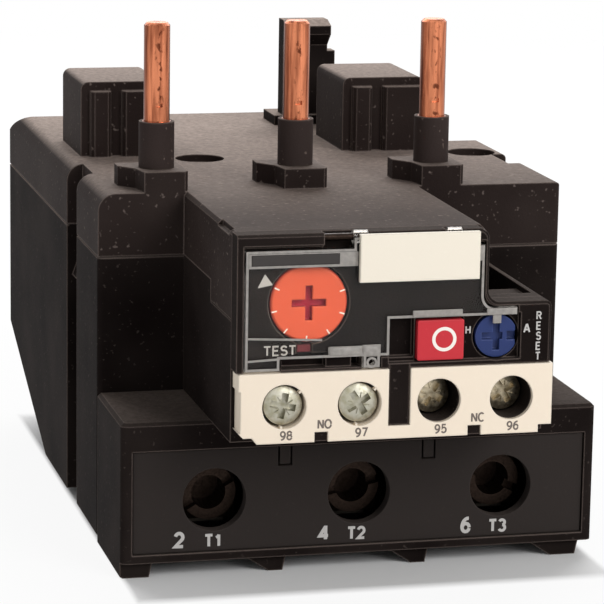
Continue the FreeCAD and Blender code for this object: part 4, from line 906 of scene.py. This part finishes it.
def inwards(line, distance):
    """The closed line moved towards its inside by a distance."""
    count = len(line)
    area = sum(line[i][0] * line[(i + 1) % count][1] - line[(i + 1) % count][0] * line[i][1]
               for i in range(count))
    side = 1 if area > 0 else -1
    moved = []
    for index, here in enumerate(line):
        arriving = (Vector(here) - Vector(line[index - 1])).normalized()
        leaving = (Vector(line[(index + 1) % count]) - Vector(here)).normalized()
        along = (arriving + leaving).normalized()
        across = Vector((-along.y, along.x)) * side
        lean = max(abs(across.dot(Vector((-leaving.y, leaving.x)))), SHARPEST_CORNER)
        moved.append(tuple(Vector(here) + across * distance / lean))
    return moved


cover_line = outline_of("dial_cover", cover_face)
print("rim corners:", len(cover_line))

# %% Rim, frosted band and ribs
RIM_WIDTH = 0.34 * MM
RIM_PROUD = 0.05 * MM
RIM_INSET = 0.02 * MM
RIB_WIDTH = 0.28 * MM
RIB_PROUD = 0.12 * MM
BAND_TOP = 50.0 * MM
ON_COVER = ("dial_cover", "clear_plastic")


def cover_pad(name, x, z, sides_mm, proud_mm, edge_mm, face_y=cover_face, finish=FROSTED):
    """A rounded pad on the cover, its left, right, bottom and top in mm from a point (x, z)."""
    left, right, bottom, top = [side * MM for side in sides_mm]
    slab(name, rectangle(x + left, x + right, z + bottom, z + top), face_y, proud_mm * MM, finish,
         *ON_COVER, edge=edge_mm * MM)


ridge("cover_rim", [inwards(cover_line, RIM_WIDTH / 2 + RIM_INSET)], RIM_WIDTH, cover_face, RIM_PROUD,
      FROSTED, *ON_COVER, closed=True)
cover_pad("cover_frosted_band", cover_left, BAND_TOP, (0.4, 15.6, -2.4, -0.4), 0.05, 0.02)
cover_pad("bare_plate", cover_left, BAND_TOP, (0.75, 13.0, -2.05, -0.55), 0.06, 0.02,
          face_y=cover_face - 0.05 * MM, finish=PLATE_FILM)
RIB_LINES_MM = (((0.35, 4.6), (10.7, 4.1)), ((0.35, 1.45), (4.8, 1.65)))
rib_lines = [[(cover_left + x * MM, cover_foot + z * MM) for x, z in line] for line in RIB_LINES_MM]
ridge("cover_ribs", rib_lines, RIB_WIDTH, cover_face, RIB_PROUD, FROSTED, *ON_COVER)
print("ribs:", len(rib_lines))

# %% [markdown]
# ## Cloudy pads, lips and tabs
# Where the mould fed the plastic or an ejector pushed it out, the cover is cloudy and slightly uneven.
# Such a pad is a small grid whose middle is raised and whose height waves a little, closed at the back.
# The lips that hold the cover down over the controls are plain blocks with rounded edges.

# %% Pads and lips
PAD_COLUMNS = 14
PAD_ROWS = 6
PAD_SUNK = 0.02 * MM
WAVE_SHARE = 0.25
WAVES_ACROSS = 5.0
WAVES_UP = 4.0


def lump(name, sides_mm, proud_mm, phase):
    """A cloudy, slightly irregular pad, its sides in mm from the cover's lower left corner."""
    left, right, bottom, top = [side * MM for side in sides_mm]
    shape = bmesh.new()
    bmesh.ops.create_grid(shape, x_segments=PAD_COLUMNS, y_segments=PAD_ROWS, size=1.0)
    for vertex in shape.verts:
        across = vertex.co.x
        up = vertex.co.y
        roundness = (1 - across ** 4) * (1 - up ** 4)
        wave = math.sin(WAVES_ACROSS * across + phase) * math.cos(WAVES_UP * up + phase)
        vertex.co = (cover_left + (left + right) / 2 + across * (right - left) / 2,
                     cover_face - proud_mm * MM * roundness * (1 - WAVE_SHARE + WAVE_SHARE * wave),
                     cover_foot + (bottom + top) / 2 + up * (top - bottom) / 2)
    rim = [edge for edge in shape.edges if edge.is_boundary]
    lowered_rim = bmesh.ops.extrude_edge_only(shape, edges=rim)["geom"]
    for vertex in lowered_rim:
        if isinstance(vertex, bmesh.types.BMVert):
            vertex.co.y = cover_face + PAD_SUNK
    bmesh.ops.holes_fill(shape, edges=[edge for edge in shape.edges if edge.is_boundary])
    for face in shape.faces:
        face.smooth = True
    finished(name, mesh_of(name, shape), FROSTED, *ON_COVER)


lump("cover_snap_root", (11.6, 16.5, 1.75, 3.1), 0.35, 0.4)
lump("cover_seal_wall", (16.4, 19.0, 1.5, 3.2), 0.3, 2.1)
SEAL_RADIUS = 0.62 * MM
seal_line = arc(cover_left + 17.75 * MM, cover_foot + 0.7 * MM, SEAL_RADIUS, SEAL_RADIUS, 0, 340, steps=17)
ridge("cover_seal_rim", [seal_line], 0.3 * MM, cover_face, RIB_PROUD, FROSTED, *ON_COVER, closed=True)
cover_pad("cover_lip_over_stop", stop_centre.x, cover_foot, (-4.2, 2.9, 6.85, 7.75), 0.3, 0.12)
cover_pad("cover_tab_by_tag", high("marker_tag").x, BAND_TOP, (0.1, 0.85, -2.2, -0.1), 0.2, 0.08)
cover_pad("cover_tab_over_knob", knob_centre.x, cover_foot, (-1.7, 2.6, 6.75, 7.65), 0.25, 0.1)
cover_pad("cover_hook_over_knob", knob_centre.x, cover_foot, (-0.75, 0.45, 5.5, 6.8), 0.3, 0.08,
          face_y=cover_face + 0.3 * MM)
print("seal hole radius in mm:", round(SEAL_RADIUS / MM, 2))

# %% [markdown]
# ## Setting marks round the dial
# The dial's rim carries short white marks at equal angles, one for each setting. This is a pattern
# that repeats by a rule, which is what Geometry Nodes do well: a line of points, a small block on
# each, and the block's angle worked out from its number.

# %% Geometry Nodes helpers
def tree_with(name, *sizes):
    """A Geometry Nodes tree with a number input for each size, and the sockets that carry them."""
    tree = bpy.data.node_groups.new(name, "GeometryNodeTree")
    for size in sizes:
        tree.interface.new_socket(size, in_out="INPUT", socket_type="NodeSocketFloat")
    tree.interface.new_socket("Mesh", in_out="OUTPUT", socket_type="NodeSocketGeometry")
    return tree, tree.nodes.new("NodeGroupInput").outputs


def grown(name, tree, sizes):
    """Run a Geometry Nodes tree with its inputs set by identifier, and return a plain mesh."""
    holder = bpy.data.objects.new(name + "_holder", bpy.data.meshes.new(name + "_seed"))
    scene.collection.objects.link(holder)
    modifier = holder.modifiers.new("growth", "NODES")
    modifier.node_group = tree
    for item in tree.interface.items_tree:
        if item.item_type == "SOCKET" and item.in_out == "INPUT":
            modifier[item.identifier] = float(sizes[item.name])
    bpy.context.view_layer.update()
    seen = holder.evaluated_get(bpy.context.evaluated_depsgraph_get())
    mesh = bpy.data.meshes.new_from_object(seen)
    mesh.name = name
    holder.modifiers.remove(modifier)
    bpy.data.objects.remove(holder)
    return mesh


def vector(tree, **axes):
    """A vector from a socket for each axis that matters."""
    return add(tree, "ShaderNodeCombineXYZ", axes).outputs["Vector"]


def placed(tree, geometry, turn=(0.0, 0.0, 0.0), **links):
    """The geometry turned by fixed angles, or by a Rotation socket, and moved by a Translation socket."""
    step = add(tree, "GeometryNodeTransform", {"Geometry": geometry, **links}, {"Rotation": turn})
    return step.outputs["Geometry"]


def finish_tree(tree, geometry, material):
    """Realize Instances, Set Material and the output, which end every tree here."""
    real = add(tree, "GeometryNodeRealizeInstances", {"Geometry": geometry})
    painted = add(tree, "GeometryNodeSetMaterial", {"Geometry": real.outputs["Geometry"]})
    painted.inputs["Material"].default_value = material
    add(tree, "NodeGroupOutput", {"Mesh": painted.outputs["Geometry"]})


print("a size goes in by its socket's identifier, so two sockets may share a name")

# %% A Geometry Nodes tree for marks at equal angles
def marks_at_equal_angles():
    """Small blocks on a circle that looks to the front, each turned along its spoke."""
    tree, size = tree_with("marks_at_equal_angles", "Count", "Radius", "Length", "Width", "Thickness",
                           "First Angle", "Step Angle", "Centre X", "Centre Y", "Centre Z")
    points = add(tree, "GeometryNodePoints", {"Count": size["Count"]}).outputs["Points"]
    number = add(tree, "GeometryNodeInputIndex").outputs["Index"]
    angle = maths(tree, "ADD", size["First Angle"], maths(tree, "MULTIPLY", number, size["Step Angle"]))
    across = maths(tree, "MULTIPLY", size["Radius"], maths(tree, "COSINE", angle))
    up = maths(tree, "MULTIPLY", size["Radius"], maths(tree, "SINE", angle))
    spot = vector(tree, X=maths(tree, "ADD", size["Centre X"], across), Y=size["Centre Y"],
                  Z=maths(tree, "ADD", size["Centre Z"], up))
    spread = add(tree, "GeometryNodeSetPosition", {"Geometry": points, "Position": spot})
    sides = vector(tree, X=size["Length"], Y=size["Thickness"], Z=size["Width"])
    block = add(tree, "GeometryNodeMeshCube", {"Size": sides})
    each = add(tree, "GeometryNodeInstanceOnPoints", {
        "Points": spread.outputs["Geometry"], "Instance": block.outputs["Mesh"],
        "Rotation": vector(tree, Y=maths(tree, "MULTIPLY", angle, -1.0))})
    finish_tree(tree, each.outputs["Instances"], INK_WHITE)
    return tree


MARKS_TREE = marks_at_equal_angles()
print("marks tree nodes:", len(MARKS_TREE.nodes))

# %% The dial's marks
TICK_COUNT = 7
TICK_LENGTH = 0.75 * MM
TICK_INSET = 0.1 * MM
dial_radius = (high("setting_dial").x - low("setting_dial").x) / 2
ticks = grown("dial_marks", MARKS_TREE, {
    "Count": TICK_COUNT, "Radius": dial_radius - TICK_INSET - TICK_LENGTH / 2, "Length": TICK_LENGTH,
    "Width": 0.2 * MM, "Thickness": 0.06 * MM, "First Angle": math.radians(155),
    "Step Angle": math.radians(37.3), "Centre X": dial_centre.x, "Centre Y": dial_front_y,
    "Centre Z": dial_centre.z})
finished("dial_marks", ticks, INK_WHITE, "setting_dial", "dial_orange")
print("dial marks:", len(ticks.vertices) // 8)

# %% [markdown]
# ## Screw wells
# Two of the contact screws sit deep, and their wells go on through the black casing behind the cream
# strip, so all that shows beside those heads is darkness. A thin dark sleeve lines each of them: four
# rings of points, joined in order, make a closed tube.

# %% Dark sleeves in the two deep wells
WELL_RADIUS = 3.1 * MM
SLEEVE_WALL = 0.06 * MM
SLEEVE_GAP = 0.01 * MM
SLEEVE_START = 0.7 * MM
SLEEVE_BACK_GAP = 0.02 * MM
SLEEVE_SIDES = 48


def well_sleeve(number):
    """A thin closed tube just inside a well, from behind the strip's face to the clamp plate."""
    well = middle("aux_screw_" + number)
    front_y = strip_face + SLEEVE_START
    back_y = low("aux_plate_" + number).y - SLEEVE_BACK_GAP
    outer = WELL_RADIUS - SLEEVE_GAP
    inner = WELL_RADIUS - SLEEVE_WALL
    shape = bmesh.new()
    rings = []
    for radius, y in ((outer, front_y), (inner, front_y), (inner, back_y), (outer, back_y)):
        turns = [math.tau * side / SLEEVE_SIDES for side in range(SLEEVE_SIDES)]
        rings.append([shape.verts.new((well.x + radius * math.cos(t), y, well.z + radius * math.sin(t)))
                      for t in turns])
    for ring, following in zip(rings, rings[1:] + rings[:1]):
        for side in range(SLEEVE_SIDES):
            after = (side + 1) % SLEEVE_SIDES
            shape.faces.new((ring[side], ring[after], following[after], following[side]))
    name = "well_sleeve_" + number
    finished(name, mesh_of(name, shape), HOUSING, "housing", "housing_black")


DEEP_WELLS = ("95", "96")
for number in DEEP_WELLS:
    well_sleeve(number)
print("dark wells:", len(DEEP_WELLS))

# %% Painted shade: dark sheets at the backs of the two notches, and the ribs that centre the flush heads
NOTCH_DEPTH = 1.58 * MM
NOTCH_FILL = 1.2 * MM
# A sheet of the black plastic in each notch stands for the shade there: painted shade
for words, left_screw, right_screw in CONTACT_PAIRS:
    notch_x = between_screws(left_screw, right_screw)
    slab("notch_painted_shade_" + words, rectangle(notch_x - 0.98 * MM, notch_x + 0.88 * MM, strip_low_z + 0.02 * MM,
                                          strip_low_z + 1.38 * MM),
         strip_face + NOTCH_DEPTH, NOTCH_FILL, HOUSING, "housing", "housing_black")
for number in ("98", "97"):
    well = middle("aux_screw_" + number)
    ribs = grown("well_ribs_" + number, MARKS_TREE, {
        "Count": 2, "Radius": WELL_RADIUS - 0.1 * MM, "Length": 0.5 * MM, "Width": 0.3 * MM,
        "Thickness": 0.9 * MM, "First Angle": math.radians(42), "Step Angle": math.radians(-140),
        "Centre X": well.x, "Centre Y": strip_face + 0.5 * MM, "Centre Z": well.z})
    finished("well_ribs_" + number, ribs, STRIP, "housing", "strip_cream")
print("notch backs at y in mm:", round((strip_face + NOTCH_DEPTH) / MM, 2))

# %% [markdown]
# ## Contact screws
# A contact screw of this size has a slightly domed head and a recess for a cross driver of the kind
# with four fine marks between its arms. Cutting a recess in a head is a job for a boolean, and the same
# cut is needed four times at four angles, so one Geometry Nodes tree builds the screw from named sizes.

# %% Head and recess of a cross-recess screw
DOME_SIDES = 48
# The fine marks are a little shorter than the arms, and cut through the dome's fall
MARK_SHARE = 0.85
MARK_EXTRA = 0.06 * MM


def lowered(tree, geometry, depth):
    """The geometry moved down its own axis by a depth."""
    return placed(tree, geometry, Translation=vector(tree, Z=maths(tree, "MULTIPLY", depth, -1.0)))


def bar(tree, length, width, depth, turn):
    """A cutting bar centred on the head's front, turned about its axis."""
    sides = vector(tree, X=length, Y=width, Z=maths(tree, "MULTIPLY", depth, 2.0))
    block = add(tree, "GeometryNodeMeshCube", {"Size": sides})
    return placed(tree, block.outputs["Mesh"], Rotation=vector(tree, Z=turn))


def recessed_head(tree, size):
    """A drum under a wide ball gives the domed head; four bars cut the cross and its fine marks."""
    drum = add(tree, "GeometryNodeMeshCylinder", {
        "Radius": size["Head Radius"], "Depth": size["Head Height"]}, {"Vertices": DOME_SIDES})
    ball = add(tree, "GeometryNodeMeshUVSphere", {"Radius": size["Dome Radius"]},
               {"Segments": DOME_SIDES, "Rings": DOME_SIDES})
    head = add(tree, "GeometryNodeMeshBoolean", operation="INTERSECT", solver="EXACT")
    tree.links.new(lowered(tree, ball.outputs["Mesh"], size["Dome Radius"]), head.inputs["Mesh 2"])
    half_height = maths(tree, "MULTIPLY", size["Head Height"], 0.5)
    tree.links.new(lowered(tree, drum.outputs["Mesh"], half_height), head.inputs["Mesh 2"])
    arm = (size["Cross Length"], size["Cross Width"], size["Cross Depth"])
    mark = (maths(tree, "MULTIPLY", size["Cross Length"], MARK_SHARE), size["Mark Width"],
            maths(tree, "ADD", size["Mark Depth"], MARK_EXTRA))
    cutters = add(tree, "GeometryNodeJoinGeometry")
    for cut, degrees in ((arm, 0), (arm, 90), (mark, 45), (mark, 135)):
        turn = maths(tree, "ADD", size["Tilt"], math.radians(degrees))
        tree.links.new(bar(tree, *cut, turn), cutters.inputs["Geometry"])
    recess = add(tree, "GeometryNodeMeshBoolean", {"Mesh 1": head.outputs["Mesh"]},
                 {"Self Intersection": True}, operation="DIFFERENCE", solver="EXACT")
    tree.links.new(cutters.outputs["Geometry"], recess.inputs["Mesh 2"])
    return recess.outputs["Mesh"]


print("head sides:", DOME_SIDES)

# %% Shank, thread and the whole screw
SHANK_SIDES = 24
THREAD_STEPS = 16
THREAD_SIDES = 4


def swept(tree, line, radius, sides):
    """A round section swept along a line, with closed ends."""
    section = add(tree, "GeometryNodeCurvePrimitiveCircle", {"Radius": radius}, {"Resolution": sides})
    body = add(tree, "GeometryNodeCurveToMesh", {
        "Curve": line.outputs["Curve"], "Profile Curve": section.outputs["Curve"]}, {"Fill Caps": True})
    return body.outputs["Mesh"]


def threaded_shank(tree, size):
    """A drum for the shank, and a thin spiral round it for the thread."""
    drum = add(tree, "GeometryNodeMeshCylinder", {
        "Radius": size["Shank Radius"], "Depth": size["Shank Length"]}, {"Vertices": SHANK_SIDES})
    half_length = maths(tree, "MULTIPLY", size["Shank Length"], 0.5)
    shank = lowered(tree, drum.outputs["Mesh"], maths(tree, "ADD", size["Head Height"], half_length))
    turns = maths(tree, "ADD", maths(tree, "DIVIDE", size["Shank Length"], size["Thread Pitch"]), -1.0)
    height = maths(tree, "MULTIPLY", turns, size["Thread Pitch"])
    line = add(tree, "GeometryNodeCurveSpiral", {
        "Rotations": turns, "Start Radius": size["Shank Radius"], "End Radius": size["Shank Radius"],
        "Height": height}, {"Resolution": THREAD_STEPS})
    thread = swept(tree, line, size["Thread Height"], THREAD_SIDES)
    foot = maths(tree, "ADD", maths(tree, "ADD", size["Head Height"], height),
                 maths(tree, "MULTIPLY", size["Thread Pitch"], 0.5))
    return shank, lowered(tree, thread, foot)


def cross_recess_screw():
    """The screw, built along its own axis and then laid with its head to the front."""
    tree, size = tree_with(
        "cross_recess_screw", "Head Radius", "Head Height", "Dome Radius", "Cross Length", "Cross Width",
        "Cross Depth", "Mark Width", "Mark Depth", "Tilt", "Shank Radius", "Shank Length", "Thread Pitch",
        "Thread Height", "Centre X", "Front Y", "Centre Z")
    whole = add(tree, "GeometryNodeJoinGeometry")
    for geometry in (recessed_head(tree, size), *threaded_shank(tree, size)):
        tree.links.new(geometry, whole.inputs["Geometry"])
    spot = vector(tree, X=size["Centre X"], Y=size["Front Y"], Z=size["Centre Z"])
    laid = placed(tree, whole.outputs["Geometry"], (math.radians(90), 0.0, 0.0), Translation=spot)
    finish_tree(tree, laid, ZINC)
    return tree


SCREW_TREE = cross_recess_screw()
print("screw tree nodes:", len(SCREW_TREE.nodes))

# %% The four contact screws
HEAD_RADIUS = 2.7 * MM
HEAD_HEIGHT = 2.2 * MM
SHANK_RADIUS = 1.6 * MM
THREAD_HEIGHT = 0.12 * MM
# Number of each screw, the angle its cross has come to rest at, and its plating, with painted shade on the
# deep pair
for number, tilt, plating in (("98", 12, ZINC), ("97", -32, ZINC), ("95", 30, SHADED_ZINC),
                              ("96", 58, SHADED_ZINC)):
    node = "aux_screw_" + number
    screw = grown(node + "_detailed", SCREW_TREE, {
        "Head Radius": HEAD_RADIUS, "Head Height": HEAD_HEIGHT, "Dome Radius": 8.0 * MM,
        "Cross Length": 3.6 * MM, "Cross Width": 0.95 * MM, "Cross Depth": 1.3 * MM,
        "Mark Width": 0.16 * MM, "Mark Depth": 0.25 * MM, "Tilt": math.radians(-tilt),
        "Shank Radius": SHANK_RADIUS - THREAD_HEIGHT,
        "Shank Length": high(node).y - low(node).y - HEAD_HEIGHT, "Thread Pitch": 0.6 * MM,
        "Thread Height": THREAD_HEIGHT, "Centre X": middle(node).x, "Front Y": low(node).y,
        "Centre Z": middle(node).z})
    piece = finished(node + "_detailed", screw, plating, node, "zinc_steel")
    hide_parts(node)
    print(node, "faces:", len(screw.polygons))

# %% [markdown]
# ## Springs
# Each push control comes back on a coil of round wire. The rigid model holds a coarse square-wire
# version of it. Geometry Nodes bend a smooth helix and sweep a round section along it.

# %% Coil springs
COIL_STEPS = 24
WIRE_SIDES = 8


def coil_spring():
    """A helix of round wire that lies along y."""
    tree, size = tree_with("coil_spring", "Turns", "Radius", "Length", "Wire Radius", "Centre X",
                           "Front Y", "Centre Z")
    line = add(tree, "GeometryNodeCurveSpiral", {
        "Rotations": size["Turns"], "Start Radius": size["Radius"], "End Radius": size["Radius"],
        "Height": size["Length"]}, {"Resolution": COIL_STEPS})
    wire = swept(tree, line, size["Wire Radius"], WIRE_SIDES)
    spot = vector(tree, X=size["Centre X"], Y=size["Front Y"], Z=size["Centre Z"])
    laid = placed(tree, wire, (math.radians(-90), 0.0, 0.0), Translation=spot)
    smooth = add(tree, "GeometryNodeSetShadeSmooth", {"Geometry": laid})
    finish_tree(tree, smooth.outputs["Geometry"], SPRING)
    return tree


COIL_TREE = coil_spring()
WIRE_RADIUS = 0.175 * MM
# Each spring, the joint that presses its button, and its number of turns
for node, joint, turns in (("stop_spring", "stop_button_press", 5),
                           ("reset_spring", "reset_plunger_press", 3)):
    start = low(node)
    end = high(node)
    coil = grown(node + "_coil", COIL_TREE, {
        "Turns": turns, "Radius": (end.x - start.x) / 2 - WIRE_RADIUS,
        "Length": end.y - start.y - 2 * WIRE_RADIUS, "Wire Radius": WIRE_RADIUS,
        "Centre X": middle(node).x, "Front Y": start.y + WIRE_RADIUS, "Centre Z": middle(node).z})
    piece = finished(node + "_coil", coil, SPRING, "housing", "spring_steel")
    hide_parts(node)
    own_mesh(piece)
    print(node, "length in mm:", round((end.y - start.y) / MM, 2))
